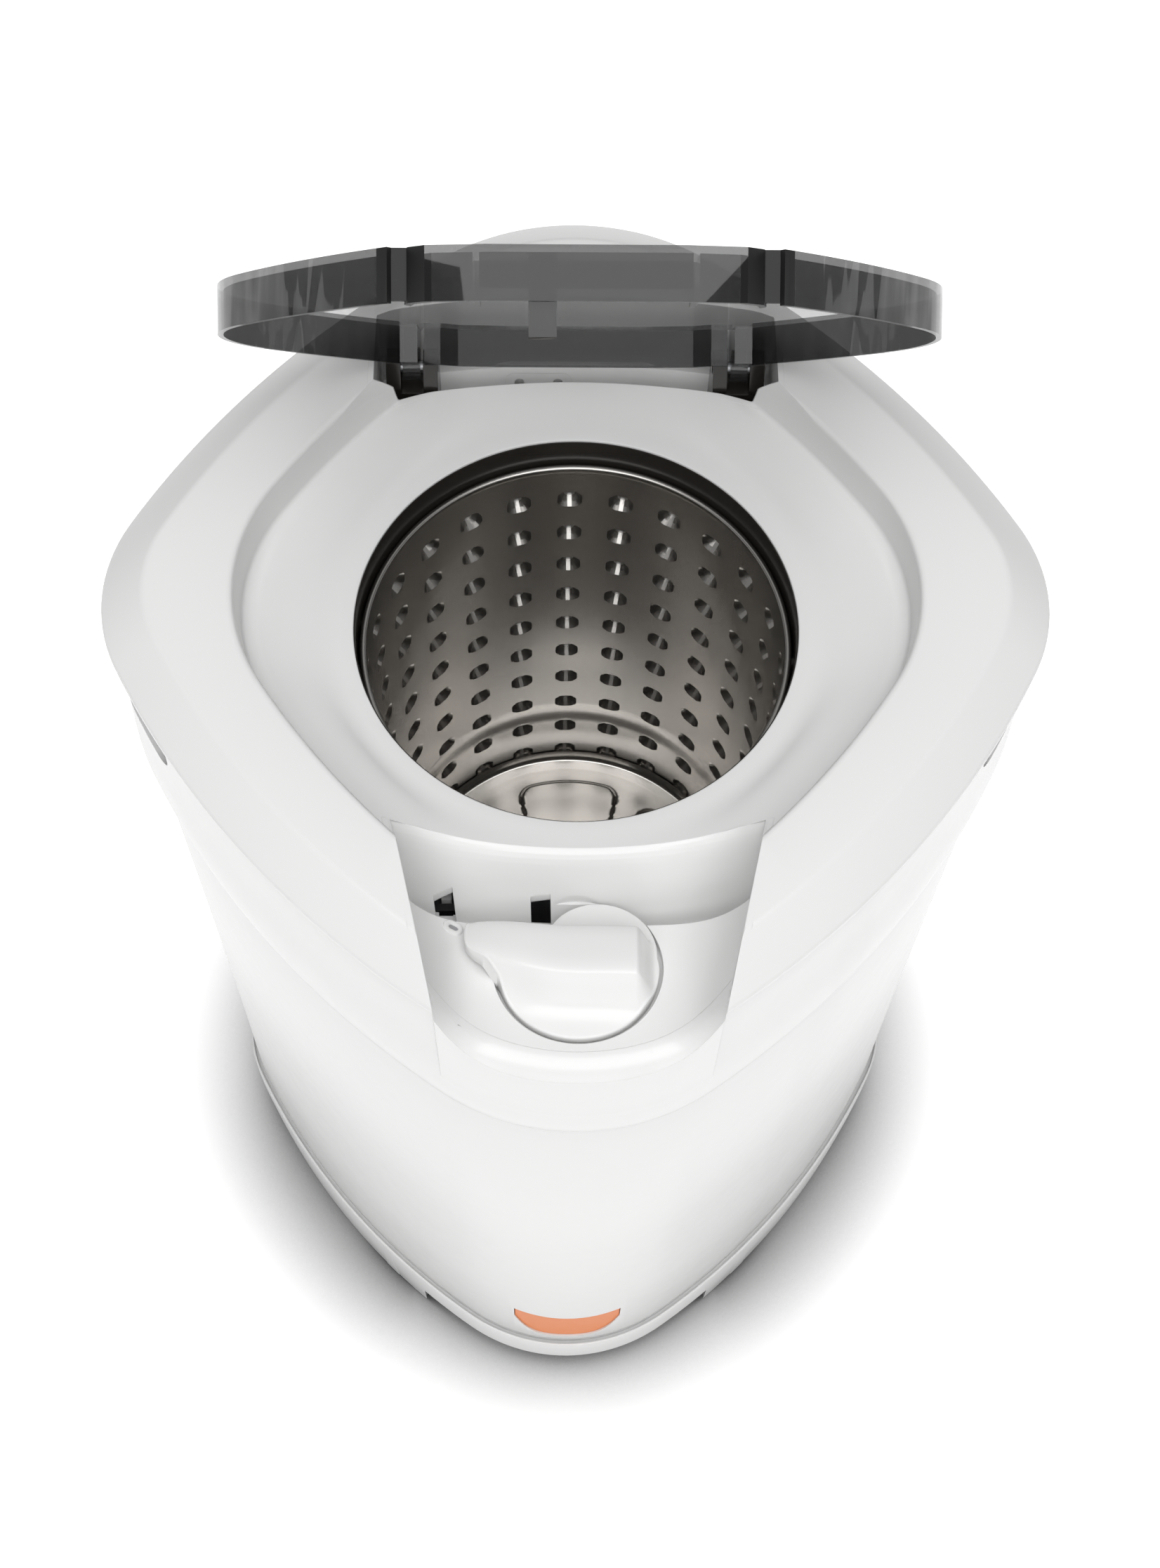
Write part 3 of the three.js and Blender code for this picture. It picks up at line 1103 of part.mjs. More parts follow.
function badgePlate() {
  const front = solid(loft([
    onRim(BODY_INSET + BADGE_SKIN.outer, SEAM_Z), onRim(BODY_INSET + BADGE_SKIN.outer, BADGE_END_Z + BADGE_SKIN.over),
    onRim(BODY_INSET + BADGE_SKIN.inner, BADGE_END_Z + BADGE_SKIN.over), onRim(BODY_INSET + BADGE_SKIN.inner, SEAM_Z),
  ]));
  return badgeShape(2 * CLEARANCE, BADGE_REACH).intersect(front);
}

// ---------------------------------------------------------------- assembly
piece(machine, 'top_panel', topPanel(), WHITE_PLASTIC);
piece(machine, 'control_panel', controlPanel(), WHITE_PLASTIC);
piece(machine, 'collar', collar(), WHITE_PLASTIC);
piece(machine, 'body_shell', bodyShell(), WHITE_PLASTIC);
piece(machine, 'badge_plate', badgePlate(), ORANGE);
piece(machine, 'base', base(), WHITE_PLASTIC);
piece(machine, 'splash_ring', splashRing(), BLACK_PLASTIC);
piece(machine, 'outer_tub', outerTub(), GREY_PLASTIC);
piece(machine, 'drum_wall', drumWall(), STAINLESS);
piece(machine, 'drum_rim', drumRim(), STAINLESS);
piece(machine, 'drum_floor', drumFloor(), STAINLESS);
piece(machine, 'drum_hub', drumHub(), STEEL);
piece(machine, 'motor_shaft', motorShaft(), STEEL);
piece(machine, 'motor_housing', motorHousing(), MOTOR_PAINT);
piece(machine, 'motor_bracket', motorBracket(), STEEL);
mountAngles().forEach((angle, i) => piece(machine, `suspension_mount_${i + 1}`, suspensionMount(angle), RUBBER));
piece(machine, 'timer_switch', timerSwitch(), DARK_PLASTIC);
piece(machine, 'timer_shaft', timerShaft(), STEEL);
piece(machine, 'timer_knob', onKnobAxis(timerKnob()), WHITE_PLASTIC);
piece(machine, 'lid', openLid(lid()), SMOKE);
[['left', -1], ['right', 1]].forEach(([place, side]) => {
  piece(machine, `hinge_block_${place}`, hingeBlock(side), BLACK_PLASTIC);
  piece(machine, `hinge_pin_${place}`, hingePin(side), STEEL);
});
piece(machine, 'interlock_switch', interlockSwitch(), DARK_PLASTIC);
piece(machine, 'interlock_plunger', interlockPlunger(), WHITE_PLASTIC);
piece(machine, 'motor_capacitor', capacitor(), STEEL);
piece(machine, 'drain_outlet', drainOutlet(), GREY_PLASTIC);
piece(machine, 'cable_gland', cableGland(), BLACK_PLASTIC);
[['front_left', -1, -1], ['front_right', 1, -1], ['rear_right', 1, 1], ['rear_left', -1, 1]]
  .forEach(([place, sx, sy]) => piece(machine, `foot_${place}`, rubberFoot(sx, sy), RUBBER));

export default machine;
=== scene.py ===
# %% [markdown]
# # A small laundry spin dryer, dressed for its portrait
# The machine is a white moulded cabinet on a rounded diamond plan, with a smoked lid that stands open,
# a timer knob on its front corner and a pressed steel drum down its middle. The solids that carry its
# sizes come in ready made, each riding on its own moving body. Here they get their real surfaces: the
# visible mouldings are drawn again as fine surfaces from the same sizes, and everything gets a finish.

# %% Load the solids
import bmesh
import bpy
import json
import math
import numpy as np
from mathutils import Matrix, Vector


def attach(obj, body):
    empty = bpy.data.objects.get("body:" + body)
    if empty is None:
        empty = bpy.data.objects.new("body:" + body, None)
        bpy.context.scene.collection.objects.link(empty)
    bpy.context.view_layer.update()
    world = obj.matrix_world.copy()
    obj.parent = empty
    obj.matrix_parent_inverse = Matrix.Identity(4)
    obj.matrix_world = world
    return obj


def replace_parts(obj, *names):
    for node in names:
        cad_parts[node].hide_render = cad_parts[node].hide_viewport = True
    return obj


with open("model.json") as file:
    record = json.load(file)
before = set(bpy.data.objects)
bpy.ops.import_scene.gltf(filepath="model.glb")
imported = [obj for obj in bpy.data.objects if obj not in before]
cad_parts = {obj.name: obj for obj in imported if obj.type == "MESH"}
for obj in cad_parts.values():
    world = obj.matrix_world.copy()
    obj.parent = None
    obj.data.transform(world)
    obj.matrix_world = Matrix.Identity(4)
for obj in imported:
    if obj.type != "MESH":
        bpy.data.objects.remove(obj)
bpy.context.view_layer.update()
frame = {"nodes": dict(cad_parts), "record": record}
nodes = frame["nodes"]

# %% [markdown]
# ## The camera
# The photograph looks down on the lid well from the front, nearly two thirds of the way to straight
# down, with a trace of turn and of roll. The view is set by its place and by three angles, because the
# machine's round opening and its outline in the photograph fix all of them.

# %% Set the camera
EYE = (-0.016, -0.553, 1.5373)
YAW, PITCH, ROLL = (math.radians(a) for a in (2.14, 62.78, 2.01))
PICTURE = (1652, 2233)
FOCAL_PIXELS = 2974


def camera_axes(yaw, pitch, roll):
    """Right, up and backward unit vectors: turn about the vertical, dip by the pitch, then roll."""
    ahead = Vector((math.sin(yaw) * math.cos(pitch), math.cos(yaw) * math.cos(pitch), -math.sin(pitch)))
    right = Vector((math.cos(yaw), -math.sin(yaw), 0))
    up = right.cross(ahead)
    return (right * math.cos(roll) + up * math.sin(roll), up * math.cos(roll) - right * math.sin(roll), -ahead)


def add_camera():
    """A camera whose vertical field is twice the arctangent of half the picture over the focal length."""
    lens = bpy.data.cameras.new("portrait_camera")
    lens.sensor_fit = "VERTICAL"
    lens.angle = 2 * math.atan(PICTURE[1] / 2 / FOCAL_PIXELS)
    lens.clip_start = 0.02
    camera = bpy.data.objects.new("portrait_camera", lens)
    turn = Matrix(camera_axes(YAW, PITCH, ROLL)).transposed().to_4x4()
    camera.matrix_world = Matrix.Translation(EYE) @ turn
    bpy.context.scene.collection.objects.link(camera)
    bpy.context.scene.camera = camera
    return camera


camera = add_camera()
print("camera field", round(math.degrees(camera.data.angle), 2), "degrees")

# %% [markdown]
# ## Sizes, in millimetres
# The mouldings share a few outlines, so the sizes are written once and every surface below is worked
# out from them. The deck climbs from the opening over a low brow to its edge at the well's groove.

# %% Sizes of the mouldings
RIM = dict(half_width=233.5, half_depth=238.0, side_tip=90.0, front_tip=120.0, side_arc=484.0)
WELL = dict(half_width=167.5, half_depth=173.5, side_tip=104.0, front_tip=114.0, side_arc=450.0)
GAP, WALL, ROUND_STEPS = 0.3, 3.0, 288
OPENING_R, OPENING_LIP = 112.0, 8.0
DECK_Z, RIM_Z, PLATEAU_Z = 640.0, 665.0, 679.0
BROW_RISE, DECK_RISE = 2.2, 5.8
BROW_R, BROW_Z = OPENING_R + 12, DECK_Z + BROW_RISE
DECK_INSET, DECK_EDGE_Z = 24.0, DECK_Z + BROW_RISE + DECK_RISE
CHAMFER, RIM_LIP, GROOVE_Z, WELL_DRAFT, GROOVE_W = 22.0, 5.0, 654.0, 1.5, 7.0
DECK_FRONT_Y, DECK_FRONT_R, DECK_ROLL = -131.0, 395.0, 3.5
CHEEK_REAR, CHEEK_FRONT, CHEEK_INSET = (92.0, -107.0), (64.0, -226.0), 11.5
CUT_CORNER_X, CUT_FRONT_Y = 88.0, -248.0
DITCH_Z, LATCH_Z = 596.0, 606.0
CHANNEL_HALF, CHANNEL_Z, CHANNEL_ARCS, LID_GAP = 104.0, 622.0, ((145, 240), (176, 500)), 3.0
HINGE_X, HINGE_Y, HINGE_Z = 86.0, 147.0, 657.0
PANEL_REAR_Y, PANEL_Z, TILT = -158.0, 624.7, math.radians(8)
SCOOP_DEPTH, BORDER_W, BORDER_DROP = 33.0, 13.0, 8.0
KNOB_Y, KNOB_R, DISH_GAP, DISH_DEPTH, CUP_WALL = -181.0, 39.0, 1.2, 4.0, 2.5
COLLAR_TUCK, BULGE_Z, COLLAR_Z = 5.0, 552.0, 538.0
BODY_INSET, BODY_FOOT_INSET, SEAM_Z, SEAM_LIP = 5.0, 4.4, 74.0, 2.6
print("rim", 2 * RIM["half_width"], "x", 2 * RIM["half_depth"], "mm")

# %% [markdown]
# ## Making meshes from arrays
# Every new surface is a grid of points worked out as whole arrays. A grid may close on itself one way or
# both ways, and its rows of quads follow from its shape alone.

# %% Grids, prisms and joins
MM = 0.001


def new_piece(name, points, faces):
    """An object at the origin whose mesh has these points, given in millimetres, and these faces."""
    mesh = bpy.data.meshes.new(name)
    mesh.from_pydata((np.asarray(points, float) * MM).tolist(), [], [list(map(int, f)) for f in faces])
    mesh.update()
    piece = bpy.data.objects.new(name, mesh)
    bpy.context.scene.collection.objects.link(piece)
    return piece


def grid_faces(rows, columns, close_rows, close_columns):
    """Quads between neighbours of a rows by columns grid, with the last joined to the first if closed."""
    i = np.arange(rows if close_rows else rows - 1)
    j = np.arange(columns if close_columns else columns - 1)
    a, b = np.meshgrid(i, j, indexing="ij")
    a2, b2 = (a + 1) % rows, (b + 1) % columns
    return np.stack([a * columns + b, a * columns + b2, a2 * columns + b2, a2 * columns + b], -1).reshape(-1, 4)


def facing_out(points, faces):
    """The same faces, turned over if their signed volume, summed over fans from each first corner, is negative."""
    p = np.asarray(points, float)
    volume = 0.0
    for k in range(1, len(faces[0]) - 1):
        f = np.array([[g[0], g[k], g[k + 1]] for g in faces if len(g) > k + 1])
        volume += np.einsum("ij,ij->i", p[f[:, 0]], np.cross(p[f[:, 1]], p[f[:, 2]])).sum()
    return [list(f)[::-1] for f in faces] if volume < 0 else faces


def round_axis(r, phi, z):
    """Points at a radius, an angle and a height: r cos phi, r sin phi, z."""
    return np.stack([r * np.cos(phi), r * np.sin(phi), z], -1)


def closed_sheet(name, grid):
    """A piece from a grid of points whose last row and last column join the first."""
    points = grid.reshape(-1, 3)
    return new_piece(name, points, facing_out(points, grid_faces(*grid.shape[:2], True, True)))


def eased(sections, radii, steps=4):
    """A closed section with each corner replaced by a quadratic curve that starts and ends a radius away."""
    before, after = np.roll(sections, 1, 0), np.roll(sections, -1, 0)
    out = []
    t = np.linspace(0, 1, steps + 1)
    for k, radius in enumerate(radii):
        corner = sections[k]
        if radius <= 0:
            out.append(corner[None])
            continue
        back, ahead = before[k] - corner, after[k] - corner
        reach_b = np.minimum(radius, 0.45 * np.linalg.norm(back, axis=-1))[:, None]
        reach_a = np.minimum(radius, 0.45 * np.linalg.norm(ahead, axis=-1))[:, None]
        start = corner + back / np.linalg.norm(back, axis=-1)[:, None] * reach_b
        end = corner + ahead / np.linalg.norm(ahead, axis=-1)[:, None] * reach_a
        w = t[:, None, None]
        out.append((1 - w) ** 2 * start + 2 * w * (1 - w) * corner + w ** 2 * end)
    return np.concatenate(out, 0)


def ring_sections(rings, steps):
    """Angles round the axis, and the (radius, height) of each ring (radius as a function of angle, height) there."""
    phi = np.linspace(0, 2 * np.pi, steps, endpoint=False)
    return phi, np.stack([np.stack([np.broadcast_to(r(phi), phi.shape), np.full(steps, z)], -1) for r, z in rings])


def closed_loft(name, rings, steps=ROUND_STEPS):
    """A wall round the axis: rings of (radius, height, easing) are joined into a closed section with eased corners."""
    phi, sections = ring_sections([(r, z) for r, z, _ in rings], steps)
    sections = eased(sections, [easing for _, _, easing in rings])
    return closed_sheet(name, round_axis(sections[..., 0], phi, sections[..., 1]))


def with_caps(faces, count, total):
    """The faces of an open tube of points, and a many-sided cap on its first and its last ring."""
    return [list(f) for f in faces] + [list(range(count))[::-1], list(range(total - count, total))]


def filled_stack(name, rings, steps=ROUND_STEPS):
    """A block between stacked rings, with a flat many-sided cap at the first and the last."""
    phi, sections = ring_sections(rings, steps)
    points = round_axis(sections[..., 0], phi, sections[..., 1]).reshape(-1, 3)
    return sealed(new_piece(name, points, with_caps(grid_faces(len(rings), steps, False, True), steps, len(points))))


def sealed(piece):
    """The same piece with its normals worked out again to point outwards."""
    work = bmesh.new()
    work.from_mesh(piece.data)
    bmesh.ops.remove_doubles(work, verts=work.verts, dist=1e-7)
    bmesh.ops.recalc_face_normals(work, faces=work.faces)
    work.to_mesh(piece.data)
    work.free()
    return piece


def plate_between(name, upper, lower, rows, columns):
    """A solid between two surfaces given as functions of two shares from 0 to 1."""
    u, v = np.meshgrid(np.linspace(0, 1, rows), np.linspace(0, 1, columns), indexing="ij")
    points = np.concatenate([upper(u, v).reshape(-1, 3), lower(u, v).reshape(-1, 3)])
    size = rows * columns
    top = grid_faces(rows, columns, False, False)
    faces = [list(f) for f in top] + [list(f)[::-1] for f in top + size]
    edge = np.concatenate([np.arange(columns), np.arange(2 * columns - 1, size, columns),
                           np.arange(size - 2, size - columns - 1, -1), np.arange(size - 2 * columns, 0, -columns)])
    faces += [[b, a, a + size, b + size] for a, b in zip(edge, np.roll(edge, -1))]
    return sealed(new_piece(name, points, faces))


def prism(name, plan, low, high):
    """An upright bar whose plan is a list of points, between two heights."""
    plan = np.asarray(plan, float)
    n = len(plan)
    points = np.concatenate([np.c_[plan, np.full(n, low)], np.c_[plan, np.full(n, high)]])
    i = np.arange(n)
    faces = [list(i[::-1]), list(i + n)] + np.stack([i, (i + 1) % n, (i + 1) % n + n, i + n], -1).tolist()
    return sealed(new_piece(name, points, faces))


def box(name, size, centre):
    """A square bar of this size about this centre."""
    w, d, h = (s / 2 for s in size)
    x, y, z = centre
    return prism(name, [(x - w, y - d), (x + w, y - d), (x + w, y + d), (x - w, y + d)], z - h, z + h)


def on_circle(r, z):
    """A round ring of this radius at this height."""
    return (lambda phi: np.full(phi.shape, float(r))), z


def rod(name, radius, low, high, steps=96):
    """A plain round bar on the axis."""
    return filled_stack(name, [on_circle(radius, low), on_circle(radius, high)], steps)


def combine(piece, others, how="DIFFERENCE"):
    """Cuts, joins or crosses a piece with the others, which are used up."""
    for other in others:
        modifier = piece.modifiers.new("cut", "BOOLEAN")
        modifier.operation = how
        modifier.solver = "MANIFOLD"
        modifier.object = other
        settle(piece)
        bpy.data.objects.remove(other)
    return piece


def settle(piece):
    """Turns a piece's modifiers into its own mesh."""
    view = bpy.context.evaluated_depsgraph_get()
    view.update()
    mesh = bpy.data.meshes.new_from_object(piece.evaluated_get(view))
    piece.modifiers.clear()
    piece.data = mesh
    return piece


def smooth(piece, angle=32):
    """Shades a piece smooth, except across edges sharper than the angle in degrees."""
    piece.data.shade_smooth()
    piece.data.set_sharp_from_angle(angle=math.radians(angle))
    return piece


def moved(piece, x=0.0, y=0.0, z=0.0):
    """The mesh of a piece shifted by millimetres."""
    piece.data.transform(Matrix.Translation((x * MM, y * MM, z * MM)))
    return piece


def laid(piece, *axes):
    """The mesh of a piece given a quarter turn about each of these axes, the last one first."""
    turn = Matrix.Identity(4)
    for axis in axes:
        turn = turn @ Matrix.Rotation(math.pi / 2, 4, axis)
    piece.data.transform(turn)
    return piece


print("mesh helpers ready")

# %% [markdown]
# ## The rounded diamond
# Seen from above, the cabinet is a diamond with soft tips: in each quarter a small arc at the side tip and
# one at the front tip are joined by a long, nearly straight arc that touches both. Moving the outline
# inwards by a distance only shortens the three radii, so the walls stay parallel.

# %% Distance from the axis to the diamond


def diamond(outline, inset):
    """Radius as a function of angle: the ray meets whichever of the three tangent arcs covers its angle."""
    a, b = outline["half_width"] - inset, outline["half_depth"] - inset
    ra, rb, rs = outline["side_tip"] - inset, outline["front_tip"] - inset, outline["side_arc"] - inset
    side, front = np.array([a - ra, 0.0]), np.array([0.0, b - rb])
    link = front - side
    length = np.linalg.norm(link)
    along = ((rs - ra) ** 2 - (rs - rb) ** 2 + length ** 2) / (2 * length)
    across = math.sqrt((rs - ra) ** 2 - along ** 2)
    normal = np.array([-link[1], link[0]]) / length
    normal = -normal if normal[0] > 0 else normal
    middle = side + link * along / length + normal * across
    touch_side = side + (side - middle) / np.linalg.norm(side - middle) * ra
    touch_front = front + (front - middle) / np.linalg.norm(front - middle) * rb
    first, second = math.atan2(touch_side[1], touch_side[0]), math.atan2(touch_front[1], touch_front[0])

    def radius(phi):
        ray = np.stack([np.abs(np.cos(phi)), np.abs(np.sin(phi))], -1)
        angle = np.arctan2(ray[..., 1], ray[..., 0])
        pick = np.where(angle < first, 0, np.where(angle < second, 1, 2))
        centre = np.stack([side, middle, front])[pick]
        size = np.array([ra, rs, rb])[pick]
        reach = (ray * centre).sum(-1)
        return reach + np.sqrt(reach ** 2 - (centre ** 2).sum(-1) + size ** 2)

    return radius


def on_rim(inset, z):
    """A ring that follows the rim's outline, moved inwards."""
    return diamond(RIM, inset), z


def on_well(inset, z):
    """A ring that follows the well's outline, moved inwards."""
    return diamond(WELL, inset), z


def rim_loft(name, table):
    """A closed section round the rim's outline, from rows of (inset, height, easing)."""
    return closed_loft(name, [(*on_rim(inset, z), easing) for inset, z, easing in table])


def rim_front_y(x, inset):
    """Front edge of the rim's outline at x, found by halving the angle that has this x."""
    x = np.abs(np.asarray(x, float))
    low, high = np.full(x.shape, -np.pi / 2), np.zeros(x.shape)
    radius = diamond(RIM, inset)
    for _ in range(40):
        phi = (low + high) / 2
        inside = radius(phi) * np.cos(phi) < x
        low, high = np.where(inside, phi, low), np.where(inside, high, phi)
    return radius(low) * np.sin(low)


def cheek_x(y, gap=0.0):
    """Half-width of the front cut-out at y: a straight line in plan."""
    share = (y - CHEEK_REAR[1]) / (CHEEK_FRONT[1] - CHEEK_REAR[1])
    return CHEEK_REAR[0] + share * (CHEEK_FRONT[0] - CHEEK_REAR[0]) - gap


print("front of the rim at x = 60:", round(float(rim_front_y(60.0, 0.0)), 1))

# %% [markdown]
# ## The top panel
# One large moulding carries the rim, the bevelled shoulder, the lid's well, the deck round the opening, the
# slope down to the controls and the channel for the hinges. Its ring-shaped part is a closed section swept
# round the diamond with every corner eased, since moulded plastic has no sharp edges, and the front cut-out
# and the hinge channel are cut out of it afterwards.

# %% Plans of the two cut-outs


def deck_front_y(x):
    """The deck's front edge: a shallow arc that bows towards the controls."""
    return DECK_FRONT_Y + DECK_FRONT_R - np.sqrt(DECK_FRONT_R ** 2 - np.asarray(x, float) ** 2)


def front_plan(gap, back=0):
    """Two straight cheeks and the arc of the deck's front edge, or one further back, between them."""
    x = cheek_x(deck_front_y(CUT_CORNER_X), gap) * np.linspace(1, -1, 64)
    foot = cheek_x(CUT_FRONT_Y, gap)
    return np.concatenate([[(foot, CUT_FRONT_Y)], np.c_[x, deck_front_y(x) + back], [(-foot, CUT_FRONT_Y)]])


def channel_plan(inset):
    """The channel behind the deck: an arc in front and a flatter one behind, by their crowns and radii."""
    (near_y, near_r), (far_y, far_r) = CHANNEL_ARCS
    x = (CHANNEL_HALF - inset) * np.linspace(1, -1, 48)
    near = near_y + inset - near_r + np.sqrt(near_r ** 2 - x ** 2)
    far = far_y - inset - far_r + np.sqrt(far_r ** 2 - x ** 2)
    return np.concatenate([np.c_[x, near], np.c_[-x, far[::-1]]])


def rounded_rectangle(width, height, radius, steps=8):
    """Corners of a rectangle replaced by quarter circles."""
    t = np.linspace(0, np.pi / 2, steps)
    corners = [(1, -1, -np.pi / 2), (1, 1, 0), (-1, 1, np.pi / 2), (-1, -1, np.pi)]
    return np.concatenate([np.c_[sx * (width / 2 - radius) + radius * np.cos(t + a),
                                 sy * (height / 2 - radius) + radius * np.sin(t + a)] for sx, sy, a in corners])


def tilted(piece):
    """Takes a piece made round the upright axis to the knob's own axis, which leans towards the front."""
    turn = Matrix.Rotation(-TILT, 4, "X")
    piece.data.transform(Matrix.Translation((0, KNOB_Y * MM, PANEL_Z * MM)) @ turn)
    return piece


print("channel is", round(float(np.ptp(channel_plan(0)[:, 1])), 1), "mm deep in plan")

# %% The ring of the top panel
TOP_RINGS = [
    (*on_rim(0.6, RIM_Z - RIM_LIP), 0.3), (*on_rim(0, RIM_Z - RIM_LIP + 1), 0.5), (*on_rim(0, RIM_Z), 1.6),
    (*on_rim(CHAMFER, PLATEAU_Z - 0.6), 2), (*on_well(0, PLATEAU_Z), 3.2), (*on_well(WELL_DRAFT, GROOVE_Z + 0.3), 2),
    (*on_well(WELL_DRAFT + GROOVE_W, GROOVE_Z), 2.5), (*on_well(DECK_INSET, DECK_EDGE_Z), 8),
    (*on_circle(BROW_R, BROW_Z), 6), (*on_circle(OPENING_R, DECK_Z + 0.2), 0.7),
    (*on_circle(OPENING_R, DECK_Z - OPENING_LIP), 0.6), (*on_circle(OPENING_R + WALL, DECK_Z - OPENING_LIP), 0.6),
    (*on_circle(OPENING_R + WALL + 1, DECK_Z - 2.5), 0), (*on_circle(BROW_R, BROW_Z - WALL), 0),
    (*on_well(DECK_INSET, DECK_EDGE_Z - WALL), 0), (*on_well(WELL_DRAFT + GROOVE_W, GROOVE_Z - WALL), 0),
    (*on_well(WELL_DRAFT - WALL, GROOVE_Z - WALL), 0), (*on_well(-WALL, PLATEAU_Z - WALL - 1), 0),
    (*on_rim(CHAMFER + 3, PLATEAU_Z - WALL), 0), (*on_rim(WALL + 0.6, RIM_Z - 2), 0),
    (*on_rim(WALL + 0.6, RIM_Z - RIM_LIP), 0.3),
]


def top_envelope(name):
    """Everything below the top panel's outer skin."""
    return filled_stack(name, [
        on_rim(0.6, DITCH_Z - 40), on_rim(0.6, RIM_Z - RIM_LIP), on_rim(0, RIM_Z - RIM_LIP + 1), on_rim(0, RIM_Z - 0.8),
        on_rim(0.8, RIM_Z), on_rim(CHAMFER, PLATEAU_Z - 0.6), on_rim(CHAMFER + 3, PLATEAU_Z)])


def well_air(name):
    """The air over the deck inside the well."""
    return filled_stack(name, [
        on_circle(BROW_R, BROW_Z), on_well(DECK_INSET, DECK_EDGE_Z), on_well(WELL_DRAFT + GROOVE_W, GROOVE_Z),
        on_well(WELL_DRAFT, GROOVE_Z + 1), on_well(0, PLATEAU_Z - 2), on_well(-1.6, PLATEAU_Z),
        on_well(-1.6, PLATEAU_Z + 20)])


top = closed_loft("top_moulding", TOP_RINGS)
combine(top, [prism("front_cut", front_plan(0, DECK_ROLL), DITCH_Z - 20, PLATEAU_Z + 10),
              prism("channel_cut", channel_plan(0), CHANNEL_Z, PLATEAU_Z + 5)])
print("top moulding", len(top.data.polygons), "faces after its cuts")

# %% Cheeks, apron and hinge channel
APRON_CORNER_X = 86.0
APRON_SETBACK = np.array([-DECK_ROLL, -2, -0.4, 1.2, 3, 5.2, 8, 10.8, 13.8, 17, 20, 21.5])
APRON_FALL = np.array([0.05, 0.3, 1.1, 2.7, 5.3, 9.4, 14.8, 20.6, 27.2, 34.0, 41.2, 43.1])
LATCH_SLOTS = [(-64, -144.0), (-17.5, -147.5)]
KNOB_ROOM = 4.6
PAD_PLACE, PAD_SIZE, SCREW_XS = (-19.5, 163.0), (36, 13), (-30, -9)


def cheek(side):
    """A flat wall that hangs from the plateau along one side of the cut-out, trimmed to the skin and the well."""
    rear, front = deck_front_y(CUT_CORNER_X) + DECK_ROLL + 1, CHEEK_FRONT[1] - 6
    plan = [(side * cheek_x(rear), rear), (side * (cheek_x(rear) + WALL), rear),
            (side * (cheek_x(front) + WALL), front), (side * cheek_x(front), front)]
    wall = prism("cheek", plan, DITCH_Z, PLATEAU_Z - 0.5)
    inside = filled_stack("cheek_reach", [
        on_rim(CHEEK_INSET, DITCH_Z - 1), on_rim(CHEEK_INSET, RIM_Z - 2 + GAP), on_rim(-5, RIM_Z - 1.2),
        on_rim(-5, PLATEAU_Z + 1)])
    combine(wall, [top_envelope("skin"), inside], "INTERSECT")
    return combine(wall, [well_air("air")])


def deck_edge_z(x):
    """Height of the deck's skin along the line where the apron joins it."""
    y = deck_front_y(x) + DECK_ROLL
    edge_r = diamond(WELL, DECK_INSET)(np.arctan2(y, x))
    return BROW_Z + DECK_RISE * np.clip((np.hypot(x, y) - BROW_R) / (edge_r - BROW_R), 0, 1.6)


def apron():
    """The deck rolls over and falls: one eased line of setbacks and heights, carried along the deck's edge."""
    place = np.linspace(0, 1, len(APRON_FALL))
    corner_y = deck_front_y(APRON_CORNER_X)

    def face(back):
        def at(u, v):
            setback = np.interp(u, place, APRON_SETBACK) - back * u
            fall = np.interp(u, place, APRON_FALL) + back * (1 - 0.7 * u)
            x = (2 * v - 1) * (cheek_x(corner_y - setback) + 0.8)
            lift = (deck_edge_z(x) - DECK_Z - BROW_RISE) * (1 - u) ** 2
            return np.stack([x, deck_front_y(x) - setback, BROW_Z - fall + lift], -1)
        return at

    return plate_between("apron", face(0.0), face(WALL), 60, 96)


def hinge_channel():
    """Floor and walls of the channel, cut back to the skin and the well, with a low screw pad."""
    tray = prism("channel", channel_plan(-WALL), CHANNEL_Z - WALL, PLATEAU_Z + 5)
    combine(tray, [top_envelope("skin")], "INTERSECT")
    combine(tray, [well_air("air"), prism("hollow", channel_plan(0), CHANNEL_Z, PLATEAU_Z + 10)])
    pad = rounded_rectangle(*PAD_SIZE, 5) + np.array(PAD_PLACE)
    combine(tray, [prism("pad", pad, CHANNEL_Z - 1, CHANNEL_Z + 1.5)], "UNION")
    holes = [rod("screw_hole", 2.6, CHANNEL_Z - 10, CHANNEL_Z + 10, 32) for _ in SCREW_XS]
    return combine(tray, [moved(hole, x, PAD_PLACE[1]) for hole, x in zip(holes, SCREW_XS)])


def latch_slot(x, y):
    """A square hole through the apron's foot, turned along its edge."""
    slot = box("slot", (9.5, 11, 40), (0, 0, LATCH_Z))
    slot.data.transform(Matrix.Rotation(-x / DECK_FRONT_R, 4, "Z"))
    return moved(slot, x, y)


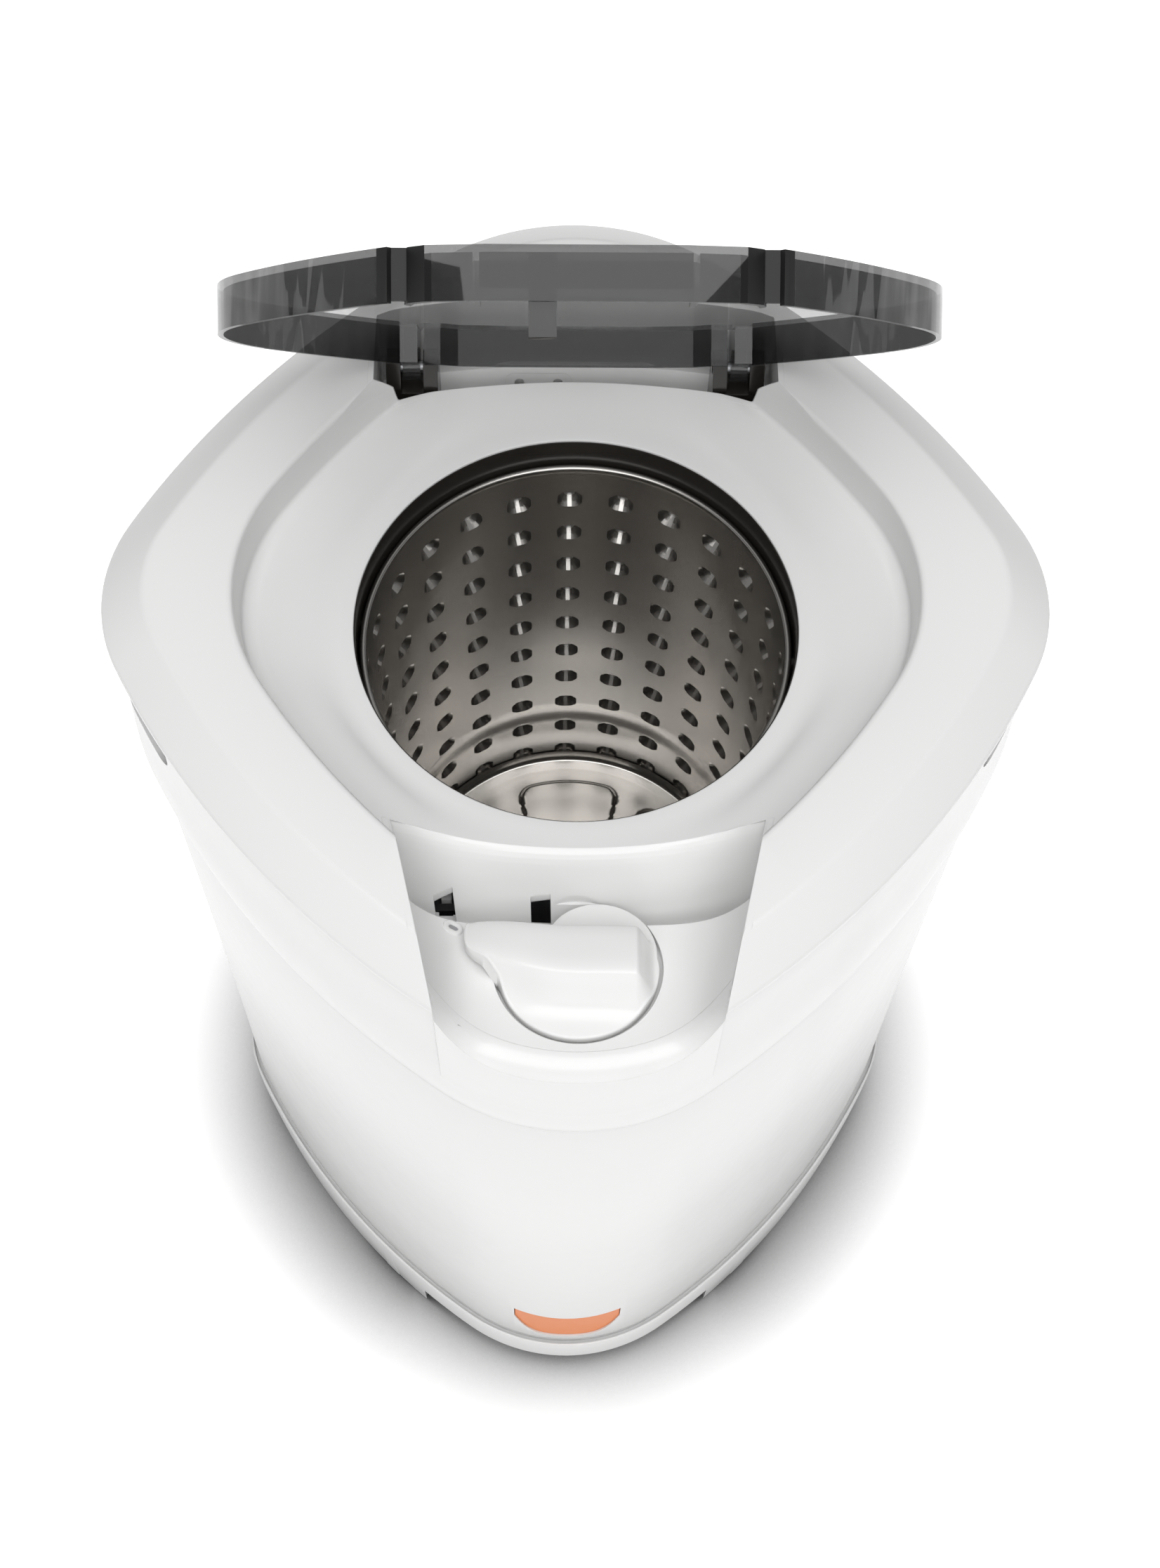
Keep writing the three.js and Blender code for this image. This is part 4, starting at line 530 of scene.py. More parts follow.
def hinge_relief(side):
    """Rounds the well's wall beside a hinge about the hinge line, so that the lid's skirt swings past it."""
    edge = diamond(WELL, LID_GAP)

    def skirt_y(x):
        """The lid's outline at x, found by halving the angle that has this x."""
        low, high = np.zeros(x.shape), np.full(x.shape, np.pi / 2)
        for _ in range(30):
            phi = (low + high) / 2
            out = edge(phi) * np.cos(phi) > x
            low, high = np.where(out, phi, low), np.where(out, high, phi)
        return edge(low) * np.sin(low)

    def skin(roof):
        def at(u, v):
            x = CHANNEL_HALF - 14 + 32 * u
            skirt = skirt_y(x)
            y = skirt + 0.8 + 16 * v
            z = HINGE_Z + np.sqrt(np.maximum((HINGE_Y - skirt - 1) ** 2 - (HINGE_Y - y) ** 2, 0))
            return np.stack([side * x, y, np.full(x.shape, PLATEAU_Z + 20) if roof else z], -1)
        return at

    return plate_between("relief", skin(True), skin(False), 24, 24)


combine(top, [apron(), hinge_channel(), cheek(-1), cheek(1)], "UNION")
# The knob's disc swings over the apron's foot, which gives way to it up to KNOB_ROOM above the scoop.
knob_space = tilted(rod("knob_space", KNOB_R, -DISH_DEPTH, KNOB_ROOM))
combine(top, [latch_slot(*place) for place in LATCH_SLOTS] + [hinge_relief(-1), hinge_relief(1), knob_space])
top.name = "top_moulding"
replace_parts(smooth(top), "top_panel")
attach(top, "cabinet")
print("top moulding", len(top.data.polygons), "faces")

# %% [markdown]
# ## The control scoop
# The timer sits in a shallow scoop that leans back towards the lid: flat across the middle, sweeping up at
# both sides to meet the cheeks. In front it rolls over into a soft border that belongs to the band below.

# %% Heights of the scoop


def scoop_z(x, y):
    """Tilted plane plus a rise that grows with the sixth power of the share of the half-width."""
    across = np.minimum(np.abs(x) / cheek_x(y), 1.1)
    return PANEL_Z + math.tan(TILT) * (KNOB_Y - y) + SCOOP_DEPTH * across ** 6


def border_z(x, y):
    """The scoop, falling away by the square of the share of the border's width."""
    edge = rim_front_y(np.minimum(np.abs(x), cheek_x(y)), 0)
    share = np.clip(1 - (y - edge) / BORDER_W, 0, 1.6)
    return scoop_z(x, y) - BORDER_DROP * share ** 2


def scoop_block(name, below):
    """The space above the scoop and its border, or the space below them."""
    def skin(flat):
        def at(u, v):
            side = 2 * v - 1
            y = PANEL_REAR_Y + 20 + (-RIM["half_depth"] - 12 - PANEL_REAR_Y - 20) * u
            x = (cheek_x(y) + 0.02) * side
            return np.stack([x, y, border_z(x, y) if flat is None else np.full(x.shape, float(flat))], -1)
        return at
    if below:
        return plate_between(name, skin(None), skin(DITCH_Z - 30), 56, 72)
    return plate_between(name, skin(PLATEAU_Z + 20), skin(None), 56, 72)


rise = scoop_z(np.array([70.0, 0.0]), np.full(2, -190.0))
print("scoop rises", round(float(rise[0] - rise[1]), 1), "mm")

# %% Build the control scoop with its cup and the ditch behind it


def scoop_front(side):
    """Front edge of the scoop, where it meets the border, settled in a few rounds."""
    y = np.full(np.shape(side), CHEEK_FRONT[1])
    for _ in range(6):
        y = rim_front_y(cheek_x(y, GAP) * side, BORDER_W + 0.02)
    return y


def scoop_skin(drop):
    """The scoop's surface between the cheeks, lowered by a thickness."""
    def at(u, v):
        side = 2 * v - 1
        y = PANEL_REAR_Y + (scoop_front(side) - PANEL_REAR_Y) * u
        x = cheek_x(y, GAP) * side
        return np.stack([x, y, scoop_z(x, y) - drop], -1)
    return at


def rear_wall(back):
    """The upright wall from the scoop's rear edge down to the ditch, set back by a thickness."""
    def at(u, v):
        y = np.full(u.shape, PANEL_REAR_Y - back)
        x = cheek_x(PANEL_REAR_Y - back, GAP) * (2 * u - 1)
        top_z = scoop_z(x, np.full(u.shape, PANEL_REAR_Y)) - 0.2
        return np.stack([x, y, top_z + (DITCH_Z - 1 - top_z) * v], -1)
    return at


def ditch_plan(gap):
    """Floor between the apron's foot and the scoop's rear wall."""
    wall_y = PANEL_REAR_Y - 1
    foot = cheek_x(wall_y, gap)
    x = cheek_x(PANEL_REAR_Y + 14, gap) * np.linspace(1, -1, 48)
    return np.concatenate([[(foot, wall_y)], np.c_[x, deck_front_y(x) - 15], [(-foot, wall_y)]])


panel = plate_between("control_scoop", scoop_skin(0), scoop_skin(WALL), 48, 72)
combine(panel, [plate_between("rear_wall", rear_wall(0), rear_wall(WALL), 72, 4),
                prism("ditch_floor", ditch_plan(GAP), DITCH_Z - WALL, DITCH_Z)], "UNION")
cup = tilted(rod("cup", KNOB_R + DISH_GAP + CUP_WALL, -DISH_DEPTH - CUP_WALL, 1))
cup_reach = box("cup_reach", (120, 100, 90), (0, PANEL_REAR_Y - 50, PANEL_Z))
combine(cup, [scoop_block("below", True), cup_reach], "INTERSECT")
combine(panel, [cup], "UNION")
plunger_hole = box("plunger_hole", (7, 12, 20), (-64, -136, DITCH_Z))
dish = tilted(rod("dish", KNOB_R + DISH_GAP, -DISH_DEPTH, 60))
combine(panel, [dish, tilted(rod("shaft_hole", 4, -20, 10, 32)), plunger_hole])
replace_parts(smooth(panel), "control_panel")
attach(panel, "cabinet")
print("control scoop", len(panel.data.polygons), "faces")

# %% The zero mark on the scoop
MARK_X, MARK_Y, MARK_TURN, MARK_STEPS, MARK_HALF = -58.9, -162.0, math.radians(-20), 64, 1.1


def zero_mark(name, rows):
    """A low lozenge: rows of (distance from a short line, lift over the scoop), turned to the pointer."""
    reach, lift = np.array(rows).T
    phi = np.linspace(0, 2 * np.pi, MARK_STEPS, endpoint=False)
    r, p = np.meshgrid(reach, phi, indexing="ij")
    x, y = r * np.cos(p) + MARK_HALF * np.sign(np.cos(p)) * np.minimum(1, r / 0.5), r * np.sin(p)
    cosine, sine = math.cos(MARK_TURN), math.sin(MARK_TURN)
    x, y = x * cosine - y * sine + MARK_X, x * sine + y * cosine + MARK_Y
    points = np.stack([x, y, scoop_z(x, y) + lift[:, None]], -1).reshape(-1, 3)
    faces = grid_faces(len(rows), MARK_STEPS, False, True)
    return smooth(sealed(new_piece(name, points, with_caps(faces, MARK_STEPS, len(points)))), 50)


mark = zero_mark("zero_mark", [(0.01, 0.1), (0.5, 0.1), (0.95, 0.1), (1.2, 0.4), (1.5, 1.2), (1.9, 1.3), (3.0, 1.3),
                               (3.4, 1.0), (3.8, -0.5)])
# Painted shade: a grey bar lies along the middle of the raised 0, where its groove is in shade.
bar = zero_mark("zero_groove_painted_shade", [(0.01, 0.25), (0.5, 0.25), (1.1, 0.25), (1.2, 0.0)])
for piece, finish_name in ((mark, "white_plastic"), (bar, "grey_plastic")):
    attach(piece, "cabinet")
print("zero mark", len(mark.data.polygons), "faces")

# %% [markdown]
# ## Band, body and base
# Below the rim a band runs round the machine: it stands nearly upright, swells, and turns in under itself to
# the body. Long hand holes are cut through it at both side tips, and at the front corner it grows up into
# the border of the scoop. The body is a plain wall, and the base stands a little proud of it under the seam.

# %% The band under the rim
HAND_HOLE, HAND_Z = (150, 32, 14), 632


def hand_hole(side):
    """A rounded slot seen from the side, cut through along X."""
    hole = laid(prism("hand_hole", rounded_rectangle(*HAND_HOLE), -40, 40), "Z", "X")
    return moved(hole, side * RIM["half_width"], 0, HAND_Z)


band_top, border_low = RIM_Z - 2, BULGE_Z + 56
band = rim_loft("band", [
    (COLLAR_TUCK - 1.4, band_top, 0.4), (COLLAR_TUCK - 2.4, BULGE_Z + 62, 18), (COLLAR_TUCK - 4.5, BULGE_Z + 26, 14),
    (COLLAR_TUCK - 4.8, BULGE_Z + 8, 6), (COLLAR_TUCK - 4.3, BULGE_Z - 2, 5), (COLLAR_TUCK - 2, BULGE_Z - 8, 4),
    (BODY_INSET, COLLAR_Z + 2, 2.5), (BODY_INSET + 0.6, COLLAR_Z, 0.4), (BODY_INSET + WALL, COLLAR_Z, 0.4),
    (COLLAR_TUCK + WALL - 1, BULGE_Z + 2, 6), (COLLAR_TUCK + WALL - 2, BULGE_Z + 40, 6),
    (COLLAR_TUCK + WALL + 1.4, band_top, 0.4)])
front = rim_loft("front_border", [
    (0, RIM_Z + 4, 0), (0, border_low, 12), (0.8, BULGE_Z + 12, 0), (BORDER_W - 3, BULGE_Z + 40, 0),
    (BORDER_W, border_low, 0), (BORDER_W, RIM_Z + 4, 0)])
cut_plan = front_plan(GAP)
combine(front, [prism("front_reach", cut_plan, BULGE_Z, PLATEAU_Z)], "INTERSECT")
combine(front, [scoop_block("above", False)])
slot = prism("front_slot", cut_plan, border_low - 1, PLATEAU_Z)
combine(slot, [scoop_block("below", True)])
combine(band, [slot])
combine(band, [front], "UNION")
combine(band, [hand_hole(-1), hand_hole(1)])
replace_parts(smooth(band), "collar")
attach(band, "cabinet")
print("band", len(band.data.polygons), "faces")

# %% The body wall with its crescent recess, and the badge in it
BADGE_HALF, BADGE_TOP, BADGE_FOOT, TIP_RISE, FOOT_RISE, BADGE_Y = 35.5, 134, 84, 6, 37, -224
REAR_HOLES, REAR_HOLE_Z, REAR_Y = [(-70, 13.3), (70, 9.3)], 104, 223


def crescent(name, gap, depth):
    """A smile with blunt tips: nearly level above, and a deep curve below that rises with a power of 4.2."""
    x = (BADGE_HALF - gap) * np.linspace(-1, 1, 48)
    share = x / BADGE_HALF
    above = BADGE_TOP - gap + TIP_RISE * share ** 2
    below = BADGE_FOOT + gap + FOOT_RISE * np.abs(share) ** 4.2
    plan = np.concatenate([np.c_[x, above], np.c_[x[::-1], below[::-1]]])
    return moved(laid(prism(name, plan, 0, depth), "X"), 0, BADGE_Y, 0)


def rear_hole(x, radius):
    """A round hole through the rear wall."""
    return moved(laid(rod("rear_hole", radius, -40, 40, 48), "X"), x, REAR_Y, REAR_HOLE_Z)


body = rim_loft("body_wall", [
    (BODY_INSET, COLLAR_Z - GAP, 0.5), (BODY_FOOT_INSET + 1.2, 240, 60), (BODY_FOOT_INSET, SEAM_Z + GAP, 1.2),
    (BODY_FOOT_INSET + WALL, SEAM_Z + GAP, 0.3), (BODY_INSET + WALL, COLLAR_Z - GAP, 0.3)])
combine(body, [crescent("recess", 0, 14)] + [rear_hole(x, radius) for x, radius in REAR_HOLES])
badge = crescent("badge", 0.4, 26)
combine(badge, [rim_loft("badge_skin", [
    (BODY_FOOT_INSET + 1.2, SEAM_Z, 0), (BODY_FOOT_INSET + 1.4, 180, 0), (BODY_FOOT_INSET + 3.2, 180, 0),
    (BODY_FOOT_INSET + 3.2, SEAM_Z, 0)])], "INTERSECT")
for piece, node, finish_name in ((body, "body_shell", "white_plastic"), (badge, "badge_plate", "orange")):
    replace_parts(smooth(piece), node)
    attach(piece, "cabinet")
print("body wall", len(body.data.polygons), "badge", len(badge.data.polygons), "faces")

# %% The base with its legs
FOOT_H, FOOT_R, FOOT_X, FOOT_Y, LEG_W = 5.0, 15.0, 112.0, 152.0, 38
ARCH_H, ARCH_HALF, FLOOR_Z = 38.0, 101.0, 62.0
outer, inner = BODY_FOOT_INSET - SEAM_LIP, BODY_FOOT_INSET + WALL + 2
proud = outer - 1.4
skirt = rim_loft("base_moulding", [
    (proud, SEAM_Z - 1, 0.4), (proud, ARCH_H + 10, 10), (outer + 0.5, FOOT_H, 1), (inner + 3, FOOT_H, 0.5),
    (inner + 1, ARCH_H, 0), (inner, SEAM_Z - 10, 0), (inner + 4, SEAM_Z - 10, 0), (inner + 4, SEAM_Z, 0.5),
    (outer + 3, SEAM_Z, 0.3), (outer + 3, SEAM_Z - 7, 0), (outer, SEAM_Z - 7, 0), (outer, SEAM_Z - 1, 0.3)])
floor_plate = filled_stack("base_floor", [on_rim(inner - 0.5, FLOOR_Z), on_rim(inner - 0.5, FLOOR_Z + WALL)])
leg_top = FLOOR_Z + 1
legs = [box("leg", (LEG_W, LEG_W, leg_top - FOOT_H), (sx * FOOT_X, sy * FOOT_Y, (leg_top + FOOT_H) / 2))
        for sx in (-1, 1) for sy in (-1, 1)]
combine(skirt, [floor_plate, *legs], "UNION")
combine(skirt, [filled_stack("base_reach", [
    on_rim(outer + 0.5, 0), on_rim(proud, ARCH_H + 10), on_rim(proud, SEAM_Z)])], "INTERSECT")
arches = [box("arch", (2 * ARCH_HALF, 150, ARCH_H + 20), (0, sy * (FOOT_Y + FOOT_R + 82), ARCH_H / 2 - 10))
          for sy in (-1, 1)]
combine(skirt, [*arches, rod("shaft_well", 19, 0, SEAM_Z + 5)])
combine(skirt, [box("drain_pillar", (34, 8, 20), (REAR_HOLES[0][0], 168, FLOOR_Z + WALL + 8))], "UNION")
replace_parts(smooth(skirt), "base")
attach(skirt, "cabinet")
print("base", len(skirt.data.polygons), "faces")

# %% [markdown]
# ## The timer knob
# The knob is one soft moulding: a round plate, a pointer that runs out past its edge, and a thick grip that
# is steep behind and slopes down to the plate in front. Its top is a height over the plan, so it is drawn on
# rays from the centre, each as long as the outline in its direction, which keeps the grid fine and even.

# %% Outline and height of the knob
PLATE_TOP, PLATE_R, PLATE_UNDER, GRIP_H, TIP_UNDER = 4.0, 38.4, -3.6, 18.5, 6.0
REAR_R, REAR_CENTRE = 27.0, (10.5, 7.0)
TIP_CORNERS = np.array([
    (-15, 15.8), (-20, 16.2), (-27, 16.9), (-34, 17.7), (-42, 18.6), (-50, 19.6), (-53, 17.5), (-53.4, 11), (-53, 5),
    (-50.8, 1.5), (-47.5, -0.8), (-43.8, -3.2), (-40.6, -6.6), (-38.2, -10)])
KNOB_STEPS, SOFTNESS = 420, 2.6


def knob_outline(phi):
    """The plate's radius in front, a smaller off-centre circle behind, and the pointer's corners at the left."""
    angle = np.arctan2(TIP_CORNERS[:, 1], TIP_CORNERS[:, 0]) % (2 * np.pi)
    along = REAR_CENTRE[0] * np.cos(phi) + REAR_CENTRE[1] * np.sin(phi)
    behind = along + np.sqrt(along ** 2 - REAR_CENTRE[0] ** 2 - REAR_CENTRE[1] ** 2 + REAR_R ** 2)
    phi = phi % (2 * np.pi)
    start = np.maximum(behind, PLATE_R - 0.1 * np.degrees(phi))
    plate = np.where(phi > math.radians(20), np.where(phi < np.pi, behind, PLATE_R), start)
    tip = np.interp(phi, angle, np.hypot(*TIP_CORNERS.T))
    reach = np.where((phi > angle[0]) & (phi < angle[-1]), tip, plate)
    window = np.exp(-0.5 * (np.arange(-8, 9) / SOFTNESS) ** 2)
    padded = np.concatenate([reach[-8:], reach, reach[:8]])
    return np.convolve(padded, window / window.sum(), "valid")


def step_down(t):
    """One before 0, nought after 1, and a smooth fall between them."""
    t = np.clip(t, 0, 1)
    return 1 - t * t * (3 - 2 * t)


def grip_top(x, y):
    """A low dome, plus the grip: steep behind its rear edge, a long concave slope before its front edge."""
    dome = PLATE_TOP - 2.4 * (np.hypot(x, y) / PLATE_R) ** 4
    rear = 12.4 + 6.6 * np.clip((-x - 6) / 44, 0, 1) ** 1.4
    front = -16.6 + 16.4 * np.clip((4 - x) / 55, 0, 1) ** 2.2
    ahead = np.maximum(front + 2.2 - y, 0)
    slope = np.exp(-(ahead / 7.5) ** 1.8)
    tail = step_down((x - 26.5) / 10)
    crown = 1 - 0.10 * np.clip((y - front) / (rear - front) * 2 - 1, -1, 1) ** 4
    return dome + GRIP_H * crown * slope * step_down((y - rear + 2.5) / 4.5) * tail


def timer_grip():
    """Rings from the centre to the rim, over a rounded edge, down the side and back under to the centre."""
    phi = np.linspace(0, 2 * np.pi, KNOB_STEPS, endpoint=False)
    edge = knob_outline(phi)
    out = np.clip((edge - PLATE_R - 0.5) / 6, 0, 1)
    under = PLATE_UNDER + (TIP_UNDER - PLATE_UNDER) * out
    rings = []
    for share in np.concatenate([[0.0005, 0.02], np.linspace(0.05, 0.975, 120)]):
        r = edge * share
        least = np.where(share > 0.8, under + 4.2, -9)
        rings.append((r, np.maximum(grip_top(r * np.cos(phi), r * np.sin(phi)), least)))
    brink = rings[-1][1]
    floor = np.maximum(under, PLATE_UNDER)
    for turn in np.linspace(0.2, 1, 6) * np.pi / 2:
        rings.append((edge * 0.975 + edge * 0.025 * math.sin(turn), brink - 1.2 * (1 - math.cos(turn))))
    side = np.maximum(brink - 1.8, floor + 0.6)
    bottom = np.full(phi.shape, PLATE_UNDER)
    rings += [(edge, side), (edge, floor + 0.5), (edge - 0.5, floor), (np.minimum(edge - 0.9, PLATE_R - 1.2), floor),
              (np.minimum(edge - 1.3, PLATE_R - 1.4), np.minimum(floor, PLATE_UNDER + 0.5)),
              (np.minimum(edge - 1.6, PLATE_R - 2), bottom), (np.full(phi.shape, 0.05), bottom)]
    r, z = (np.stack([ring[k] for ring in rings]) for k in (0, 1))
    return closed_sheet("timer_grip", round_axis(r, phi, z))


knob = tilted(timer_grip())
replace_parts(smooth(knob, 50), "timer_knob")
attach(knob, "timer_knob")
print("timer grip", len(knob.data.polygons), "faces")

# %% [markdown]
# ## The drum
# The drum is rolled stainless sheet. Its wall is pressed with rows of shallow eight-sided dishes, each with a
# small hole at its bottom, and a bead runs round it low down. The wall is one fine grid of angle and height
# whose lines are folded round each dish, so that the mesh's edges follow the facets; the dishes themselves are
# a displacement worked out from the distance to the nearest dish centre. The holes are not cut: they are
# painted dark, as painted shade of the space behind them.

# %% Drum wall
DRUM_R, DRUM_WALL, DRUM_TOP, DRUM_FLOOR = 109.0, 1.2, 622.0, 292.0
DISHES, DISH_ROWS, DISH_PITCH, DISH_TOP, DISH_TURN = 24, 10, 32.0, 592.6, math.radians(1.3)
DISH_R, DISH_H, DISH_BOTTOM, DISH_MARGIN = 6.9, 6.4, 1.2, 8.3
BEAD_Z, BEAD_HALF, BEAD_RISE = DRUM_FLOOR + 62, 12, 1.1
HALF_LINES = np.array([0.6, DISH_BOTTOM, 2.86, 4.9, DISH_R, DISH_MARGIN])
DISH_LINES = np.concatenate([-HALF_LINES[::-1], [0.0], HALF_LINES])


def bead(z):
    """A smooth swelling about the bead's line."""
    near = np.maximum(0, 1 - np.abs(z - BEAD_Z) / BEAD_HALF)
    return BEAD_RISE * near * near * (3 - 2 * near)


def dish_offsets(phi, z):
    """Arc length and height from the centre of the nearest dish, in millimetres."""
    cell = 2 * np.pi / DISHES
    across = ((phi - np.pi / 2 - DISH_TURN + cell / 2) % cell - cell / 2) * DRUM_R
    row = np.clip(np.round((DISH_TOP - z) / DISH_PITCH), 0, DISH_ROWS - 1)
    return across, z - (DISH_TOP - row * DISH_PITCH)


def folded(across, up):
    """Square rings of grid points folded to eight-sided rings: the tangent of 22.5 degrees is 0.4142."""
    wide, tall = np.abs(across), np.abs(up)
    most, least = np.maximum(np.maximum(wide, tall), 1e-9), np.minimum(wide, tall)
    margin = np.clip((DISH_MARGIN - most) / (DISH_MARGIN - DISH_R), 0, 1)
    share = np.clip((least / most - 0.4142) / 0.5858, 0, 1) * margin
    long_side = most * (1 - 0.2929 * share)
    short_side = np.where(share > 0, (1 - share) * least + share * 0.7071 * most, least)
    new_wide = np.where(wide >= tall, long_side, short_side)
    new_tall = np.where(wide >= tall, short_side, long_side)
    return np.copysign(new_wide, across), np.copysign(new_tall, up)


def dish_depth(across, up):
    """Depth of a dish: linear in the eight-sided distance from its centre, flat over its small bottom."""
    angle = np.arctan2(up, across)
    facet = np.cos((angle + np.pi / 8) % (np.pi / 4) - np.pi / 8)
    away = np.hypot(across, up) * facet
    return np.clip((DISH_R - away) / (DISH_R - DISH_BOTTOM), 0, 1) * DISH_H, away


def drum_lines(low, high):
    """Heights of the wall's grid lines: close together over each row of dishes and round the bead."""
    centre = DISH_TOP - np.arange(DISH_ROWS) * DISH_PITCH
    lines = np.concatenate([[low, high], (centre[:, None] + DISH_LINES).ravel(), BEAD_Z + np.linspace(-13, 13, 12)])
    lines = np.unique(np.round(np.clip(lines, low, high), 2))
    return lines[np.concatenate([[True], np.diff(lines) > 0.25])]


def drum_columns():
    """Angles of the wall's grid lines: close together across each dish, with one more between two dishes."""
    across = np.concatenate([DISH_LINES, [14.27]]) / DRUM_R
    centre = np.arange(DISHES)[:, None] * 2 * np.pi / DISHES
    return np.sort(((centre + across + np.pi / 2 + DISH_TURN) % (2 * np.pi)).ravel())


wall_z, wall_phi = drum_lines(DRUM_FLOOR + 4, DRUM_TOP - 4), drum_columns()
phi, z = np.meshgrid(wall_phi, wall_z)
across, up = dish_offsets(phi, z)
new_across, new_up = folded(across, up)
phi, z = phi + (new_across - across) / DRUM_R, z + new_up - up
depth, away = dish_depth(new_across, new_up)
inside_r = DRUM_R - DRUM_WALL + bead(z) + depth
outside = round_axis(inside_r + DRUM_WALL, phi, z)[::-1]
drum = closed_sheet("drum_sheet", np.concatenate([round_axis(inside_r, phi, z), outside]))
# The dish holes are not cut: this mask marks them, and the steel finish paints them dark as painted shade.
hole = drum.data.attributes.new("hole", "FLOAT", "POINT")
near_centre = np.concatenate([away, away[::-1]]).ravel()
hole.data.foreach_set("value", np.clip((1.9 - near_centre) / 0.6, 0, 1).astype(np.float32))
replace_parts(smooth(drum, 12), "drum_wall")
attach(drum, "drum")
print("drum sheet", len(drum.data.polygons), "faces,", DISHES * DISH_ROWS, "dishes")

# %% Drum rim and floor
PRESSING_R = [0, 21, 24, 28, 34, 91, 98, 104, 106.4, 107.4]
PRESSING_Z = [8, 8, 6.5, 4, 3, 1.8, 1.8, 2.4, 5.5, 10]
PADS, PAD_R, PAD_RISE, FLOOR_STEPS = 6, 68, 3.0, 312


def floor_z(r, phi):
    """The floor falls from its rim to a flat, rises to the hub's cover, and carries raised pads."""
    base = np.interp(r, PRESSING_R, PRESSING_Z) + DRUM_FLOOR
    cell = 2 * np.pi / PADS
    turn = (phi - np.pi / 2 + cell / 2) % cell - cell / 2
    radial = r - PAD_R
    side = np.abs(turn) * r
    out = np.hypot(np.maximum(side - (21 + 0.22 * radial), 0), np.maximum(np.abs(radial) - 11, 0))
    pad = np.clip((9.5 - out) / 2.2, 0, 1)
    return base + PAD_RISE * pad * pad * (3 - 2 * pad)


rings = np.concatenate([np.linspace(0.6, 30, 16), np.linspace(32, 107.2, 90)])
phi = np.linspace(0, 2 * np.pi, FLOOR_STEPS, endpoint=False)
r, p = np.meshgrid(rings, phi, indexing="ij")
under_r, under_p = np.meshgrid(rings[::-1][::6], phi, indexing="ij")
under = round_axis(under_r, under_p, np.full(under_r.shape, DRUM_FLOOR))
drum_floor = closed_sheet("drum_floor_pressing", np.concatenate([round_axis(r, p, floor_z(r, p)), under]))
roll_in, roll_out, roll_low = DRUM_R - 2.2, DRUM_R + 1.4, DRUM_TOP - 3.7
roll = closed_loft("drum_roll", [
    (*on_circle(roll_in, roll_low), 0.4), (*on_circle(roll_in, DRUM_TOP), 1.7), (*on_circle(roll_out, DRUM_TOP), 1.7),
    (*on_circle(roll_out, roll_low), 0.4)], 288)
for piece, node in ((drum_floor, "drum_floor"), (roll, "drum_rim")):
    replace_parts(smooth(piece, 50), node)
    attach(piece, "drum")
print("drum floor", len(drum_floor.data.polygons), "faces")

# %% Black guard ring under the opening
GUARD_R, GUARD_LOW, GUARD_HIGH = 111.5, 604, DECK_Z - 0.9
lip_z = DECK_Z - OPENING_LIP - GAP
guard = closed_loft("guard_ring", [(*on_circle(r, z), easing) for r, z, easing in (
    (GUARD_R - 0.1, GUARD_HIGH, 0.1), (GUARD_R + 0.2, GUARD_LOW, 0.6), (GUARD_R + 2, GUARD_LOW, 0.6),
    (GUARD_R + 2, lip_z - 1, 0), (OPENING_R + 9, lip_z - 3, 0.3), (OPENING_R + 9, lip_z, 0.3),
    (GUARD_R + 0.35, lip_z - 0.1, 0), (GUARD_R + 0.35, GUARD_HIGH, 0.1))], 288)
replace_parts(smooth(guard), "splash_ring")
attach(guard, "cabinet")
print("guard ring", len(guard.data.polygons), "faces")

# %% [markdown]
# ## The smoked lid
# The lid is a thin clear moulding: a plate that follows the well's outline with a squared nose, a skirt all
# round, two arms that reach the hinges, ribs behind the nose, webs at its corners and the latch hook. It is
# drawn closed, with its edges bevelled so that they catch the light, and then swung open about the hinge line.

# %% Plan of the lid and its parts
LID_WALL, LID_TOP, LID_SKIRT, LID_OPEN = 2.6, 678.0, 21.5, math.radians(56.5)
LID_REAR, LID_WAIST, LID_NOSE, NOSE_HALF, JOIN_STEP = 151.0, 133.5, -148.0, 72.0, 6
ARM_W, EYE_R, PIN_R, BLOCK_HALF = 9.0, 7.5, 3.3, 13.5
RIB_X, RIB_L, RIB_H, BRIDGE_H = 43.0, 26, LID_SKIRT - 1, LID_SKIRT - 8
HOOK_X, HOOK_W, HOOK_L = -17, 11, 35
LID_LOW = LID_TOP - LID_SKIRT


def lid_plan(t):
    """The well's outline moved inwards, squared at the nose and stepped at the rear round the hinge blocks."""
    edge = diamond(WELL, LID_GAP + t)
    rear_half, nose_half, nose_y = HINGE_X + ARM_W / 2 - t, NOSE_HALF - t, LID_NOSE + t
    phi = np.pi * (np.linspace(0, 1, 161) - 0.5)
    x, y = edge(phi) * np.cos(phi), np.minimum(edge(phi) * np.sin(phi), LID_REAR - t)
    join_x = nose_half + JOIN_STEP
    join = (join_x, float(np.interp(join_x, x[phi < 0], y[phi < 0])))
    keep = ~((x < join_x + 0.5) & (y < 0)) & ~((x < rear_half) & (y > 0))
    nose = [(nose_half * 0.55, nose_y), (nose_half - 9, nose_y + 4), (nose_half - 2, nose_y + 10),
            (nose_half, nose_y + 18), join]
    block_edge, waist = HINGE_X - BLOCK_HALF - 2, LID_WAIST - t
    rear = [(rear_half, LID_REAR - t), (rear_half - ARM_W, LID_REAR - t), (rear_half - ARM_W, waist),
            (block_edge, waist), (block_edge - 9, LID_WAIST + 7 - t), (block_edge / 2, LID_REAR - 6 - t)]
    right = np.concatenate([nose, np.c_[x, y][keep], rear])
    return np.concatenate([right, right[::-1] * np.array([-1, 1])])


